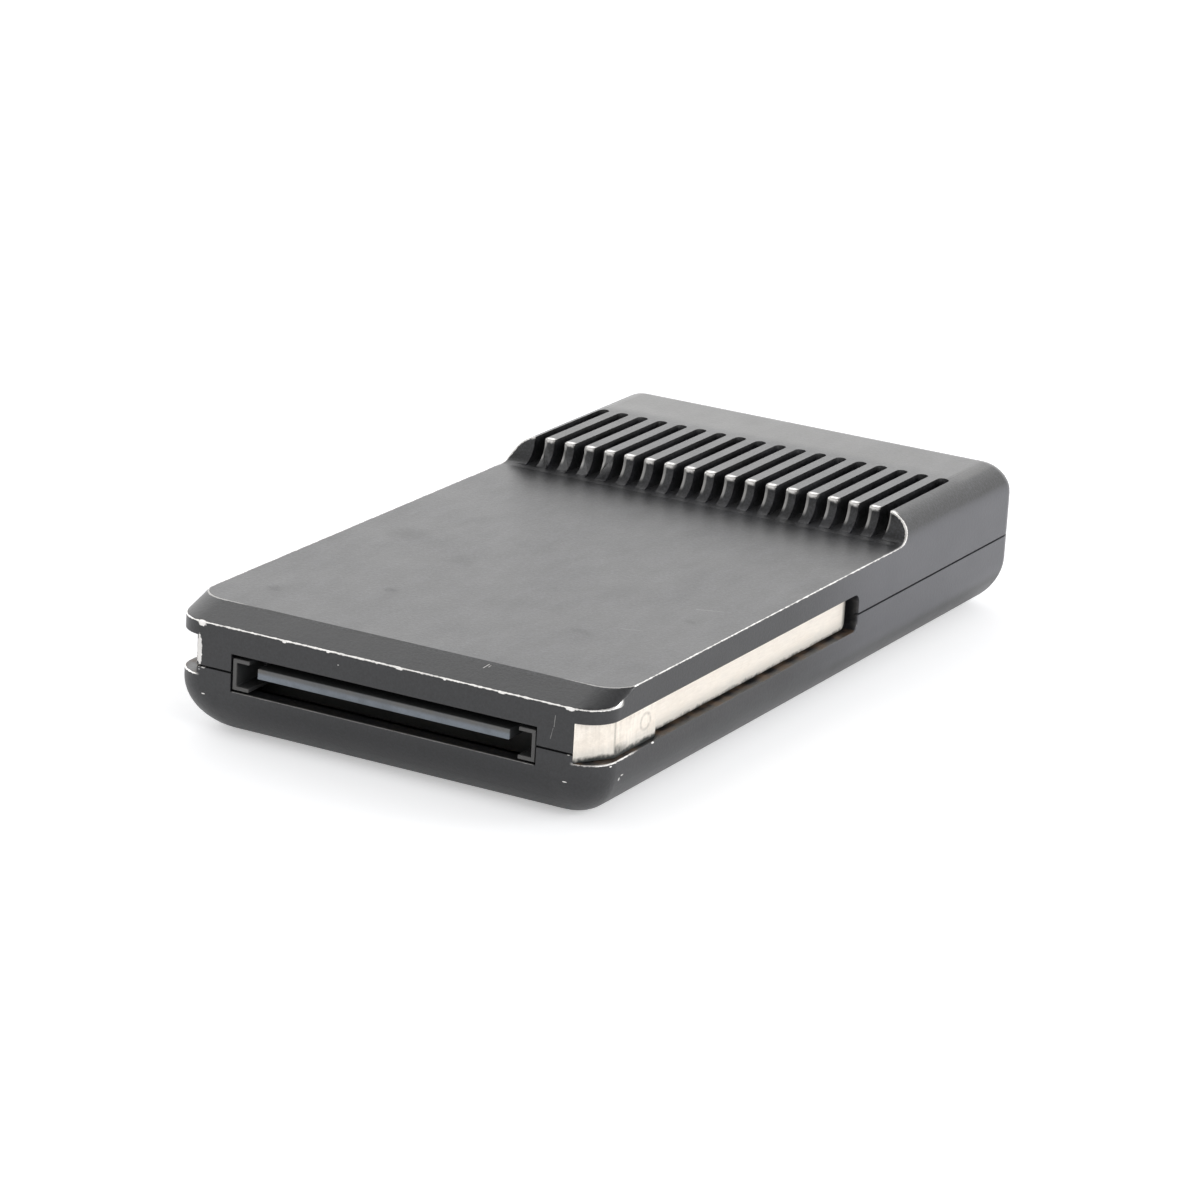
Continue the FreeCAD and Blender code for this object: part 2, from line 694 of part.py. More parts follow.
def lip_radius(edge, whole):
    """The bevel along the outer edge of the groove's floor, round the front corners too."""
    level = abs(edge.ZMin - size("lip_height")) < NEAR and edge.ZLength < NEAR
    outside = max(edge.XMax, -edge.XMin) > whole.XMax - NEAR and edge.XLength < size("front_corner_radius")
    return size("lip_chamfer") if level and outside else None


def room_radius(edge, whole):
    """The floor edges of the inside run level with the outside."""
    if edge.ZMax > whole.ZMin + NEAR:
        return None
    outside = size("rear_base_radius") if edge.YMin > whole.YMax - NEAR else base_radius()
    return outside - size("case_wall")


lower_bevelled = blended("Part::Chamfer", "lower_bevelled", lower_shell, lip_radius)
lower_room_block = box("lower_room_block", ("case_wall - half_width", "half_width - case_wall"),
                       ("case_wall", "body_length - case_wall"), ("case_floor", "body_height"))
lower_room = blended("Part::Fillet", "lower_room", lower_room_block, room_radius)
lower_window = box("lower_window", *WINDOW)
lower_tub = cut("lower_tub", lower_bevelled, [lower_room, lower_window])
IN_FLOOR = ("case_floor / 2", "board_bottom")
bosses = [post(f"case_boss_{n}", "boss_radius", x, y, IN_FLOOR)
          for n, (x, y) in enumerate(CASE_SCREWS, start=1)]
bosses += [post(f"board_boss_{n}", "board_boss_radius", x, y, IN_FLOOR)
           for n, (x, y) in enumerate(BOARD_SCREWS, start=1)]
lower_joined = fuse("lower_joined", [lower_tub] + bosses)
lower_holes = []
for number, (x, y) in enumerate(CASE_SCREWS, start=1):
    lower_holes += [
        post(f"case_hole_{number}", "case_hole_radius", x, y, (f"-{BEYOND}", f"board_top + {BEYOND}")),
        post(f"head_recess_{number}", "case_head_radius", x, y, (f"-{BEYOND}", "case_head_recess")),
        cone(f"countersink_{number}", "case_head_radius", "case_hole_radius", x, y,
             ("case_head_recess", "case_head_recess + case_head_height"))]
BOARD_THREAD_Z = ("board_top - board_screw_length - board_thread_radius / 2", f"board_top + {BEYOND}")
lower_holes += [post(f"board_thread_{n}", "board_thread_radius", x, y, BOARD_THREAD_Z)
                for n, (x, y) in enumerate(BOARD_SCREWS, start=1)]
finish(cut("lower_case_solid", lower_joined, lower_holes), "lower_case")

def rail_radius(edge, whole):
    """The rounded corners at the rear end of a rail."""
    at_end = edge.YMin > whole.YMax - NEAR and edge.ZLength < NEAR
    return size("rail_end_radius") if at_end else None


# The guide rails: bright metal strips that line the grooves, with a lead-in at the front corner
RAIL_BOTTOM = "lip_height + rail_clearance"
for name, side in (("guide_rail_left", -1), ("guide_rail_right", 1)):
    strip = side_prism(name + "_body", side, RAIL, RAIL_BOTTOM, "groove_top")
    relief = box(name + "_relief", ALL_X, ("nose_rail_end + rail_step", PAST_REAR),
                 ("0", f"{RAIL_BOTTOM} + rail_lift"))
    finish(blended("Part::Fillet", name + "_solid", cut(name + "_cut", strip, [relief]), rail_radius), name)

# The connector: a moulded block on the board, with a skirt over the board's edge, a blade and two
# C-shaped guide posts
BLOCK_Y = ("plug_block_front", "plug_block_rear")
REACH_Y = ("plug_recess", "plug_block_front")
plug_block = box("plug_block", ("-plug_half", "plug_half"), BLOCK_Y, ("board_top", "plug_block_top"))
plug_skirt = box("plug_skirt", ("-plug_half", "plug_half"),
                 ("plug_block_front", "board_front - board_edge_clearance"), ("board_bottom", "board_top"))
tongue = box("tongue", across("0", "tongue_width"), REACH_Y, ("tongue_bottom", "tongue_top"))
POST_Z = ("post_bottom", "post_top")
ROOM_Y = (PAST_FRONT, "plug_block_front")
ROOM_Z = ("post_bottom + post_wall", "post_top - post_wall")
guide_posts = [box("guide_post_left", ("-plug_half", "post_reach - plug_half"), REACH_Y, POST_Z),
               box("guide_post_right", ("plug_half - post_reach", "plug_half"), REACH_Y, POST_Z)]
post_rooms = [box("post_room_left", ("post_wall - plug_half", f"post_reach + {BEYOND} - plug_half"),
                  ROOM_Y, ROOM_Z),
              box("post_room_right", (f"plug_half - post_reach - {BEYOND}", "plug_half - post_wall"),
                  ROOM_Y, ROOM_Z)]
posts_open = cut("posts_open", fuse("posts_full", guide_posts), post_rooms)
CONTACT_Z = ("contact_bottom", "tongue_bottom")
channels = [box("signal_channel", ("signal_start - contact_width / 2",
                                   "signal_start + (signal_count - 1) * contact_pitch + contact_width / 2"),
                BLOCK_Y, CONTACT_Z),
            box("power_channel", ("power_end - (power_count - 1) * contact_pitch - contact_width / 2",
                                  "power_end + contact_width / 2"), BLOCK_Y, CONTACT_Z)]
plug_full = fuse("connector_full", [plug_block, plug_skirt, tongue, posts_open])
finish(cut("connector_solid", plug_full, channels), "connector_housing")

# The connector's contacts: blades under the tongue that bend down behind the block to the board
TAIL_Y = ("plug_block_rear", "plug_block_rear + contact_thickness")
BLADE_Y = ("plug_recess + contact_recess", TAIL_Y[1])
FOOT_Y = ("plug_block_rear", "plug_block_rear + contact_foot")
FOOT_Z = ("board_top", "board_top + contact_thickness")
for kind, start in (("signal", "signal_start + "), ("power", "power_end - ")):
    contacts = []
    for number in range(int(size(f"{kind}_count"))):
        contact_x = across(f"{start}{number} * contact_pitch", "contact_width")
        name = f"{kind}_{number + 1}"
        blade = box(name + "_blade", contact_x, BLADE_Y, CONTACT_Z)
        tail = box(name + "_tail", contact_x, TAIL_Y, ("board_top", "tongue_bottom"))
        foot = box(name + "_foot", contact_x, FOOT_Y, FOOT_Z)
        contacts.append(fuse(name, [blade, tail, foot]))
    finish(group(f"{kind}_group", contacts), f"{kind}_contacts")

# The brackets that hold the connector's ends to the board
BRACKET_Y = ("plug_block_rear - bracket_length", "plug_block_rear")
brackets = []
for name, left, reach in (("left", "-plug_half - bracket_{}", "-plug_half"),
                          ("right", "plug_half", "plug_half + bracket_{}")):
    wall_x, foot_x = [(left.format(kind), reach.format(kind)) for kind in ("thickness", "foot")]
    wall = box(f"bracket_{name}_wall", wall_x, BRACKET_Y, ("board_top", "board_top + bracket_height"))
    foot = box(f"bracket_{name}_foot", foot_x, BRACKET_Y, ("board_top", "board_top + bracket_thickness"))
    brackets.append(fuse(f"bracket_{name}", [wall, foot]))
finish(group("bracket_group", brackets), "connector_brackets")

# The carrier board, with holes for the case screws and its own screws
board = new_body("board_body")
board_sketch = sketch_on(board, "board_outline", height="board_bottom")
rectangle(board_sketch, ("-board_half", "board_half"), ("board_front", "board_rear"))
pad(board, board_sketch, "board_pad", "board_thickness")
board_holes = sketch_on(board, "board_holes", height="board_bottom")
for x, y in CASE_SCREWS:
    circle(board_holes, x, y, "case_hole_radius")
for x, y in BOARD_SCREWS:
    circle(board_holes, x, y, "board_screw_radius + board_hole_clearance")
through_pocket(board, board_holes, "board_holes_cut")
finish(board, "main_board")

# The screws
HEAD_MIDDLE = "case_head_recess + case_head_height / 2"
case_screws = []
for number, (x, y) in enumerate(CASE_SCREWS, start=1):
    head = cone(f"case_screw_head_{number}", "case_head_radius - case_head_clearance", "case_screw_radius",
                x, y, ("case_head_recess", "case_head_recess + case_head_height"))
    shank = post(f"case_screw_shank_{number}", "case_screw_radius", x, y, (HEAD_MIDDLE, "case_screw_tip"))
    drive = post(f"case_screw_drive_{number}", "case_screw_radius / 2", x, y, (f"-{BEYOND}", HEAD_MIDDLE))
    case_screws.append(cut(f"case_screw_{number}", fuse(f"case_screw_full_{number}", [head, shank]), [drive]))
finish(group("case_screw_group", case_screws), "case_screws")


def pan_screw(name, where, kind, seat, tip):
    """A screw with a flat round head on a seat, pointing down; kind gives its sizes."""
    middle = f"{seat} + {kind}_head_height / 2"
    head = post(name + "_head", f"{kind}_head_radius", *where, (seat, f"{seat} + {kind}_head_height"))
    shank = post(name + "_shank", f"{kind}_screw_radius", *where, (tip, middle))
    drive = post(name + "_drive", f"{kind}_screw_radius / 2", *where,
                 (middle, f"{middle} + {kind}_head_height"))
    return cut(name, fuse(name + "_full", [head, shank]), [drive])


board_screws = [pan_screw(f"board_screw_{n}", where, "board", "board_top", "board_top - board_screw_length")
                for n, where in enumerate(BOARD_SCREWS, start=1)]
finish(group("board_screw_group", board_screws), "board_screws")

# The socket for the flash module, and its contacts' feet on both sides
socket_block = box("socket_block", across("0", "socket_width"), ("socket_front", "socket_rear"),
                   ("board_top", "board_top + socket_height"))
socket_slot = box("socket_slot", across("0", "(module_tab_width + 2 * tab_clearance)"),
                  ("module_front", f"socket_rear + {BEYOND}"),
                  ("module_bottom", "module_top + tab_clearance"))
finish(cut("socket_solid", socket_block, [socket_slot]), "module_socket")
socket_feet = []
for number in range(int(size("socket_contact_count"))):
    foot_x = across(f"({number} - (socket_contact_count - 1) / 2) * socket_contact_pitch",
                    "socket_contact_width")
    for row, along in (("front", ("socket_front - socket_contact_length", "socket_front")),
                       ("rear", ("socket_rear", "socket_rear + socket_contact_length"))):
        socket_feet.append(box(f"socket_foot_{row}_{number + 1}", foot_x, along, FOOT_Z))
finish(group("socket_feet", socket_feet), "socket_contacts")

# The flash module's board: a narrow tab for the socket and a half-round notch for its screw
TAB = "module_tab_width / 2"
WIDE = "module_width / 2"
module = new_body("module_body")
module_sketch = sketch_on(module, "module_outline", height="module_bottom")
polygon(module_sketch, [
    (f"-{TAB}", "module_front"), (TAB, "module_front"), (TAB, "socket_rear"), (WIDE, "socket_rear"),
    (WIDE, "module_rear"), (f"-{WIDE}", "module_rear"), (f"-{WIDE}", "socket_rear"),
    (f"-{TAB}", "socket_rear")])
pad(module, module_sketch, "module_pad", "module_thickness")
notch_sketch = sketch_on(module, "module_notch", height="module_bottom")
circle(notch_sketch, *MODULE_SCREW, "notch_radius")
through_pocket(module, notch_sketch, "module_notch_cut")
finish(module, "module_board")

standoff_post = post("standoff_post", "standoff_radius", *MODULE_SCREW, ("board_top", "module_bottom"))
standoff_thread = post("standoff_thread", "module_thread_radius", *MODULE_SCREW, ("board_top", "module_top"))
finish(cut("standoff_solid", standoff_post, [standoff_thread]), "module_standoff")
finish(pan_screw("module_screw_solid", MODULE_SCREW, "module", "module_top", "board_top"), "module_screw")


def chip(label, x, y, z):
    """A packaged chip or a pad: a flat block between two formulas along each axis."""
    body = new_body(label + "_body")
    sketch = sketch_on(body, label + "_outline", height=z[0])
    rectangle(sketch, x, y)
    pad(body, sketch, label + "_pad", f"({z[1]}) - ({z[0]})")
    finish(body, label)


CHIP_X = across("0", "chip_width")
ON_MODULE = ("module_top", "chip_top")
UNDER_MODULE = ("module_bottom - chip_height", "module_bottom")
FIRST_FLASH = ("flash_front", "flash_front + flash_length")
SECOND_FLASH = ("flash_rear - flash_length", "flash_rear")
chip("controller_chip", CHIP_X, ("controller_front", "controller_front + controller_length"), ON_MODULE)
chip("cache_chip", CHIP_X, ("cache_front", "cache_front + cache_length"), ON_MODULE)
chip("flash_chip_1", CHIP_X, FIRST_FLASH, ON_MODULE)
chip("flash_chip_2", CHIP_X, SECOND_FLASH, ON_MODULE)
chip("flash_chip_3", CHIP_X, FIRST_FLASH, UNDER_MODULE)
chip("flash_chip_4", CHIP_X, SECOND_FLASH, UNDER_MODULE)
PAD_X = across("0", "(chip_width + 2 * pad_margin)")
chip("upper_thermal_pad", PAD_X, ("controller_front", "flash_rear"), ("chip_top", "pad_top"))
chip("lower_thermal_pad", PAD_X, ("flash_front", "flash_rear"), ("board_top", UNDER_MODULE[0]))

# The small parts on the module, beside its chips, and on the board, beside the module
LOW_ON_BOARD = ("board_top", "board_top + small_part_height")
TALL_ON_BOARD = ("board_top", "board_top + tall_part_height")
LOW_ON_MODULE = ("module_top", "module_top + small_part_height")
chip("module_power_chip", across("module_parts_across", "power_chip_width"),
     ("controller_front", "controller_front + power_chip_width"), LOW_ON_MODULE)
chip("clock_crystal", across("-module_parts_across", "crystal_width"),
     ("controller_front", "controller_front + crystal_length"), LOW_ON_MODULE)
chip("regulator_chip", across("side_parts_across", "regulator_width"),
     across("regulator_place", "regulator_width"), LOW_ON_BOARD)
chip("power_inductor", across("side_parts_across", "inductor_width"),
     across("inductor_place", "inductor_width"), TALL_ON_BOARD)
chip("id_chip", across("-side_parts_across", "id_chip_width"),
     across("id_chip_place", "id_chip_length"), TALL_ON_BOARD)


def small_parts(name, kind, places, z):
    """Boxes of one kind at several places, kept together; kind gives their width and length."""
    pieces = [box(f"{name}_{number}", across(x, f"{kind}_width"), across(y, f"{kind}_length"), z)
              for number, (x, y) in enumerate(places, start=1)]
    finish(group(name + "_group", pieces), name)


SIDES = (-1, 1)
board_places = [(f"{side} * side_parts_across + {column} * capacitor_spacing / 2",
                 f"capacitor_place + {row} * capacitor_spacing / 2")
                for side in SIDES for column in SIDES for row in SIDES]
board_places += [(f"{side} * side_parts_across", "front_capacitor_place") for side in SIDES]
small_parts("board_capacitors", "capacitor", board_places, LOW_ON_BOARD)
module_places = [(f"{side} * module_parts_across",
                  f"module_capacitor_start + {row} * module_capacitor_step")
                 for side in SIDES for row in range(int(size("module_capacitor_rows")))]
small_parts("module_capacitors", "module_capacitor", module_places,
            ("module_top", "module_top + module_capacitor_height"))
protection_places = [(f"({number} - (protection_count - 1) / 2) * protection_spacing",
                      "protection_front + protection_length / 2")
                     for number in range(int(size("protection_count")))]
small_parts("protection_chips", "protection", protection_places, LOW_ON_BOARD)

doc.recompute()
for thing in doc.Objects:
    if "Invalid" in thing.State or "Error" in thing.State:
        raise SystemExit(f"{thing.Name} failed: {thing.State}")
for part in PARTS:
    if part.Shape.isNull() or not part.Shape.isValid():
        raise SystemExit(f"{part.Label} has no valid shape")
os.makedirs("parts", exist_ok=True)
for part in PARTS:
    part.Shape.exportStep(f"parts/{part.Label}.step")
    print(part.Label, len(part.Shape.Solids), round(part.Shape.Volume, 2))
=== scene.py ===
"""The looks of a removable capture drive: its finishes, worn edges, screws, studio and camera.

Lengths are in millimetres in the shaders and in the names without a unit, and in metres where a name
ends in _m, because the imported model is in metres. X is across the drive, +Y runs from the connector to
the finned grip and +Z is up. The origin is at the middle of the underside.
"""

import logging
import math
from dataclasses import dataclass
from enum import Enum
from functools import reduce
from typing import Callable, Sequence, Union

import bpy
from mathutils import Matrix, Vector


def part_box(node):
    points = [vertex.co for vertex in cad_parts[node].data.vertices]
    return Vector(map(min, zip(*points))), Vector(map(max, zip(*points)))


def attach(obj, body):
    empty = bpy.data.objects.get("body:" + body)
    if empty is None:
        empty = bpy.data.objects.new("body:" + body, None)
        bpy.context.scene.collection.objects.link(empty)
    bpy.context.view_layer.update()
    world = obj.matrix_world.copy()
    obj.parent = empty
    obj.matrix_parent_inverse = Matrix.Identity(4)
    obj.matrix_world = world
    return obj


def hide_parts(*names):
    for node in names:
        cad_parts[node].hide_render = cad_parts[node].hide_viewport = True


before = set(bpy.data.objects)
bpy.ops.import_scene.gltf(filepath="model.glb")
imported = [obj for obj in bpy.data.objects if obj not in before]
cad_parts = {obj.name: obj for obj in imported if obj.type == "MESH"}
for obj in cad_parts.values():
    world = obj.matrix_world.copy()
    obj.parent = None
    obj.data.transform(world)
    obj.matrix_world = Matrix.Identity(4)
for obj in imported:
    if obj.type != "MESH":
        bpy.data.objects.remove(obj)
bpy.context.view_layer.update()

LOG = logging.getLogger("capture_drive")
MM = 0.001
Colour = tuple[float, float, float]
Point = tuple[float, float, float]
Span = tuple[float, float]
Number = Union[float, "Value"]
Paint = Union[Colour, "Value"]
Piece = bpy.types.Object
Material = bpy.types.Material


class Slot(Enum):
    """The record's material slots."""

    CASE = "case_anodised"
    RAIL = "rail_metal"
    CONNECTOR = "connector_plastic"
    CONTACT = "contact_gold"
    TIN = "tinned_steel"
    BOARD = "board_green"
    MODULE = "module_green"
    BLACK_SCREW = "screw_black"
    STEEL_SCREW = "screw_steel"
    BRASS = "brass_plain"
    CHIP = "chip_plastic"
    PAD = "pad_grey"
    CERAMIC = "ceramic"
    CRYSTAL = "crystal_can"


class Value:
    """A number, colour or vector socket that Python's operators work on."""

    def __init__(self, graph: "Graph", socket: bpy.types.NodeSocket) -> None:
        """Keeps the socket and the tree that it belongs to."""
        self.graph = graph
        self.socket = socket

    def maths(self, operation: str, *others: Number) -> "Value":
        """A Math node on this value, with the others in its next sockets."""
        inputs = dict(enumerate((self, *others)))
        return self.graph.add("ShaderNodeMath", {"operation": operation}, inputs)

    def swapped(self, operation: str, other: Number) -> "Value":
        """A Math node with the other value first."""
        return self.graph.add("ShaderNodeMath", {"operation": operation}, {0: other, 1: self})

    def __add__(self, other: Number) -> "Value":
        """The sum."""
        return self.maths("ADD", other)

    def __radd__(self, other: Number) -> "Value":
        """The sum, with the number first."""
        return self.swapped("ADD", other)

    def __sub__(self, other: Number) -> "Value":
        """The difference."""
        return self.maths("SUBTRACT", other)

    def __rsub__(self, other: Number) -> "Value":
        """The difference, with the number first."""
        return self.swapped("SUBTRACT", other)

    def __mul__(self, other: Number) -> "Value":
        """The product."""
        return self.maths("MULTIPLY", other)

    def __truediv__(self, other: Number) -> "Value":
        """The quotient."""
        return self.maths("DIVIDE", other)

    def __abs__(self) -> "Value":
        """The size without its sign."""
        return self.maths("ABSOLUTE")

    def over(self, other: Number) -> "Value":
        """The larger of two values."""
        return self.maths("MAXIMUM", other)

    def under(self, other: Number) -> "Value":
        """The smaller of two values."""
        return self.maths("MINIMUM", other)

    def span(self, other: Number) -> "Value":
        """The length of the two values taken as the sides of a right angle."""
        return (self * self + other * other).maths("SQRT")

    def fade(self, full: float, none: float) -> "Value":
        """A smooth step from 1, where this value is full, to 0, where it is none."""
        inputs = {"Value": self, "From Min": full, "From Max": none, "To Min": 1.0, "To Max": 0.0}
        return self.graph.add("ShaderNodeMapRange", {"interpolation_type": "SMOOTHSTEP"}, inputs)


class Graph:
    """A node tree whose nodes all come from one method."""

    def __init__(self, tree: bpy.types.NodeTree) -> None:
        """Starts with an empty tree."""
        self.tree = tree
        self.tree.nodes.clear()

    def link(self, value: Value, target: bpy.types.NodeSocket) -> None:
        """Joins a value to a node's input."""
        self.tree.links.new(value.socket, target)

    def add(self, kind: str, settings: dict | None = None, inputs: dict | None = None,
            output: int | str = 0) -> Value:
        """Any node, set up and fed.

        Args:
            kind: the node's type.
            settings: its own settings, which are set first.
            inputs: a value or a number for each named or numbered socket.
            output: the socket that is given back.

        Returns:
            The chosen output.
        """
        node = self.tree.nodes.new(kind)
        for key, setting in (settings or {}).items():
            setattr(node, key, setting)
        for key, given in (inputs or {}).items():
            if isinstance(given, Value):
                self.link(given, node.inputs[key])
            else:
                node.inputs[key].default_value = given
        return Value(self, node.outputs[output])

    def parts(self, vector: Value) -> list[Value]:
        """The three numbers of a vector."""
        return [self.add("ShaderNodeSeparateXYZ", {}, {0: vector}, axis) for axis in "XYZ"]

    def end(self, kind: str, shell: Value) -> None:
        """Ends the tree with an output node.

        Args:
            kind: the output node's type.
            shell: the surface that it shows.
        """
        node = self.tree.nodes.new(kind)
        self.link(shell, node.inputs["Surface"])


class Shader(Graph):
    """A material with one Principled surface, and the nodes that feed it."""

    def __init__(self, name: str) -> None:
        """Starts an empty material with the object's place in millimetres at hand."""
        self.material = bpy.data.materials.new(name)
        self.material.use_nodes = True
        super().__init__(self.material.node_tree)
        metres = self.add("ShaderNodeTexCoord", output="Object")
        self.place = self.vector("SCALE", {0: metres, "Scale": 1.0 / MM})
        self.x, self.y, self.z = self.parts(self.place)

    def noise(self, grain: float, detail: float = 2.0, stretch: Point = (1.0, 1.0, 1.0),
              roughness: float = 0.5) -> Value:
        """A noise pattern from 0 to 1, centred on a half.

        Args:
            grain: the size of a patch in millimetres.
            detail: how many finer layers it has.
            stretch: how many times longer a patch is along each axis.
            roughness: how strong the finer layers are.

        Returns:
            The pattern.
        """
        where = self.add("ShaderNodeMapping", {}, {"Vector": self.place,
                                                   "Scale": tuple(1.0 / (grain * s) for s in stretch)})
        return self.add("ShaderNodeTexNoise", {}, {"Vector": where, "Scale": 1.0, "Detail": detail,
                                                   "Roughness": roughness})

    def vector(self, operation: str, inputs: dict, output: int | str = 0) -> Value:
        """A Vector Math node."""
        return self.add("ShaderNodeVectorMath", {"operation": operation}, inputs, output)

    def near(self, centre: Point, reach: Point) -> Value:
        """How far a place is from a centre, where 1 is the edge of an ellipsoid with that reach."""
        offset = self.vector("SUBTRACT", {0: self.place, 1: centre})
        return self.vector("LENGTH", {0: self.vector("DIVIDE", {0: offset, 1: reach})}, "Value")

    def near_line(self, start: Point, end: Point) -> Value:
        """The distance of a place from a straight stroke, in millimetres.

        Args:
            start: one end of the stroke.
            end: the other end.

        Returns:
            The distance.
        """
        along = Vector(end) - Vector(start)
        offset = self.vector("SUBTRACT", {0: self.place, 1: start})
        share = self.vector("DOT_PRODUCT", {0: offset, 1: tuple(along / along.length_squared)}, "Value")
        foot = self.vector("SCALE", {0: tuple(along), "Scale": share.over(0.0).under(1.0)})
        return self.vector("DISTANCE", {0: offset, 1: foot}, "Value")

    def mix(self, amount: Number, first: Paint, second: Paint) -> Value:
        """A colour between two.

        Args:
            amount: 0 for the first, 1 for the second.
            first: a colour, written or linked.
            second: a colour, written or linked.

        Returns:
            The mixed colour.
        """
        colours = [given if isinstance(given, Value) else (*given, 1.0) for given in (first, second)]
        return self.add("ShaderNodeMix", {"data_type": "RGBA", "clamp_factor": True},
                        {0: amount, 6: colours[0], 7: colours[1]}, 2)

    def shade(self, colour: Paint, amount: Value) -> Value:
        """A colour made lighter or darker by a factor."""
        factor = self.add("ShaderNodeCombineXYZ", {}, {0: amount, 1: amount, 2: amount})
        given = colour if isinstance(colour, Value) else (*colour, 1.0)
        return self.add("ShaderNodeMix", {"data_type": "RGBA", "blend_type": "MULTIPLY"},
                        {0: 1.0, 6: given, 7: factor}, 2)

    def bump(self, height: Value, depth: float, strength: float = 1.0) -> Value:
        """A surface normal from a height pattern whose real depth is in millimetres."""
        return self.add("ShaderNodeBump", {}, {"Strength": strength, "Distance": depth * MM,
                                               "Height": height})

    def surface(self, colour: Paint, roughness: Number, metallic: Number = 0.0,
                normal: Value | None = None, fixed: dict | None = None) -> Material:
        """Ends the material with its Principled surface.

        Args:
            colour: the base colour.
            roughness: the roughness.
            metallic: how metallic it is.
            normal: the bumped normal, where there is one.
            fixed: plain numbers for the shader's other sockets.

        Returns:
            The finished material.
        """
        inputs = {"Base Color": colour if isinstance(colour, Value) else (*colour, 1.0),
                  "Roughness": roughness, "Metallic": metallic, **(fixed or {})}
        if normal is not None:
            inputs["Normal"] = normal
        self.end("ShaderNodeOutputMaterial", self.add("ShaderNodeBsdfPrincipled", {}, inputs))
        return self.material


@dataclass(frozen=True)
class CaseForm:
    """Where the case's edges run, for the wear that follows them."""

    half_width: float
    half_length: float
    top: float
    deck: float = 15.5
    nose: float = 14.0
    nose_depth: float = 4.5
    lip: float = 7.55
    window_floor: float = 6.35
    window_half: float = 20.2
    front_radius: float = 3.95
    grip_radius: float = 4.0
    cove_start: float = 20.0
    cove_radius: float = 3.1
    groove_end: float = 9.4
    slot_start: float = -25.315
    slot_pitch: float = 2.89
    slot_width: float = 1.5

    @classmethod
    def from_frame(cls) -> "CaseForm":
        """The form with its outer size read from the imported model."""
        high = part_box("upper_case")[1]
        return cls(half_width=high.x / MM, half_length=high.y / MM, top=high.z / MM)


@dataclass(frozen=True)
class Mark:
    """A chip or a smudge at a place on the case."""

    centre: Point
    reach: Point
    strength: float = 1.0
    soft: float = 0.25

    def mask(self, shader: Shader, rough: Value) -> Value:
        """The mark's mask, with an uneven edge from a noise."""
        distance = shader.near(self.centre, self.reach) + (rough - 0.5) * 1.1
        return distance.fade(1.0 - self.soft, 1.0) * self.strength


@dataclass(frozen=True)
class Scratch:
    """A fine straight stroke on the case."""

    start: Point
    end: Point
    width: float = 0.07
    strength: float = 0.6

    def mask(self, shader: Shader, rough: Value) -> Value:
        """The stroke's mask, broken up by a noise."""
        distance = shader.near_line(self.start, self.end) + (rough - 0.5) * self.width
        return distance.fade(self.width * 0.3, self.width) * self.strength


CHIPS = (
    Mark((-24.4, -54.4, 13.8), (0.65, 0.5, 0.45)),
    Mark((24.3, -54.4, 13.85), (0.7, 0.5, 0.22)),
    Mark((28.45, -50.3, 13.9), (0.5, 0.55, 0.12), 0.6, 0.7),
    Mark((-13.2, -54.4, 13.85), (0.35, 0.4, 0.18)),
    Mark((-7.3, -54.4, 13.88), (0.25, 0.4, 0.16)),
    Mark((2.1, -54.4, 13.88), (0.55, 0.4, 0.16)),
    Mark((8.1, -54.4, 13.88), (0.25, 0.4, 0.14)),
    Mark((-5.9, -54.4, 12.6), (0.13, 0.4, 0.08), 0.6),
    Mark((15.5, -54.4, 13.86), (0.5, 0.4, 0.13)),
    Mark((24.05, -54.3, 5.25), (0.3, 0.6, 0.09)),
    Mark((27.7, -53.2, 6.0), (0.14, 0.4, 0.14)),
    Mark((28.45, -49.5, 5.1), (0.3, 0.22, 0.3)),
    Mark((28.45, -48.9, 5.5), (0.4, 0.35, 0.09)),
    Mark((28.45, -51.6, 7.2), (0.4, 0.25, 0.12)),
    Mark((28.45, -42.2, 7.45), (0.4, 0.35, 0.12)),
    Mark((-24.0, -54.4, 5.3), (0.3, 0.4, 0.08)),
    Mark((-24.1, -54.4, 8.5), (0.3, 0.5, 0.12), 0.7),
    Mark((24.4, -54.4, 8.55), (0.22, 0.5, 0.14), 0.7),
    Mark((-24.65, -54.4, 10.4), (0.34, 0.6, 2.1), 0.9, 0.15),
)
SCRATCHES = (
    Scratch((22.5, -54.4, 12.7), (22.4, -54.4, 11.4), 0.06, 0.28),
    Scratch((22.3, -54.4, 11.2), (22.0, -54.4, 9.9), 0.05, 0.2),
    Scratch((11.2, -51.2, 15.07), (11.5, -50.4, 15.33), 0.08, 0.6),
    Scratch((11.7, -50.9, 15.17), (11.8, -50.5, 15.30), 0.06, 0.5),
    Scratch((20.5, -18.0, 15.5), (23.5, -16.8, 15.5), 0.07, 0.18),
    Scratch((17.0, -30.0, 15.5), (19.4, -29.2, 15.5), 0.07, 0.12),
)
SMUDGES = (
    Mark((-22.2, -42.5, 15.5), (1.3, 1.3, 0.5), 0.45, 0.8),
    Mark((-11.4, -34.4, 15.5), (1.1, 1.2, 0.5), 0.45, 0.8),
    Mark((-21.2, -14.0, 15.5), (3.2, 4.2, 0.5), 0.40, 0.95),
    Mark((-10.9, -19.2, 15.5), (2.8, 3.2, 0.5), 0.30, 0.95),
    Mark((14.0, -34.0, 15.5), (2.2, 1.4, 0.5), 0.35, 0.95),
    Mark((22.2, -22.7, 15.5), (1.6, 1.0, 0.5), 0.35, 0.9),
)


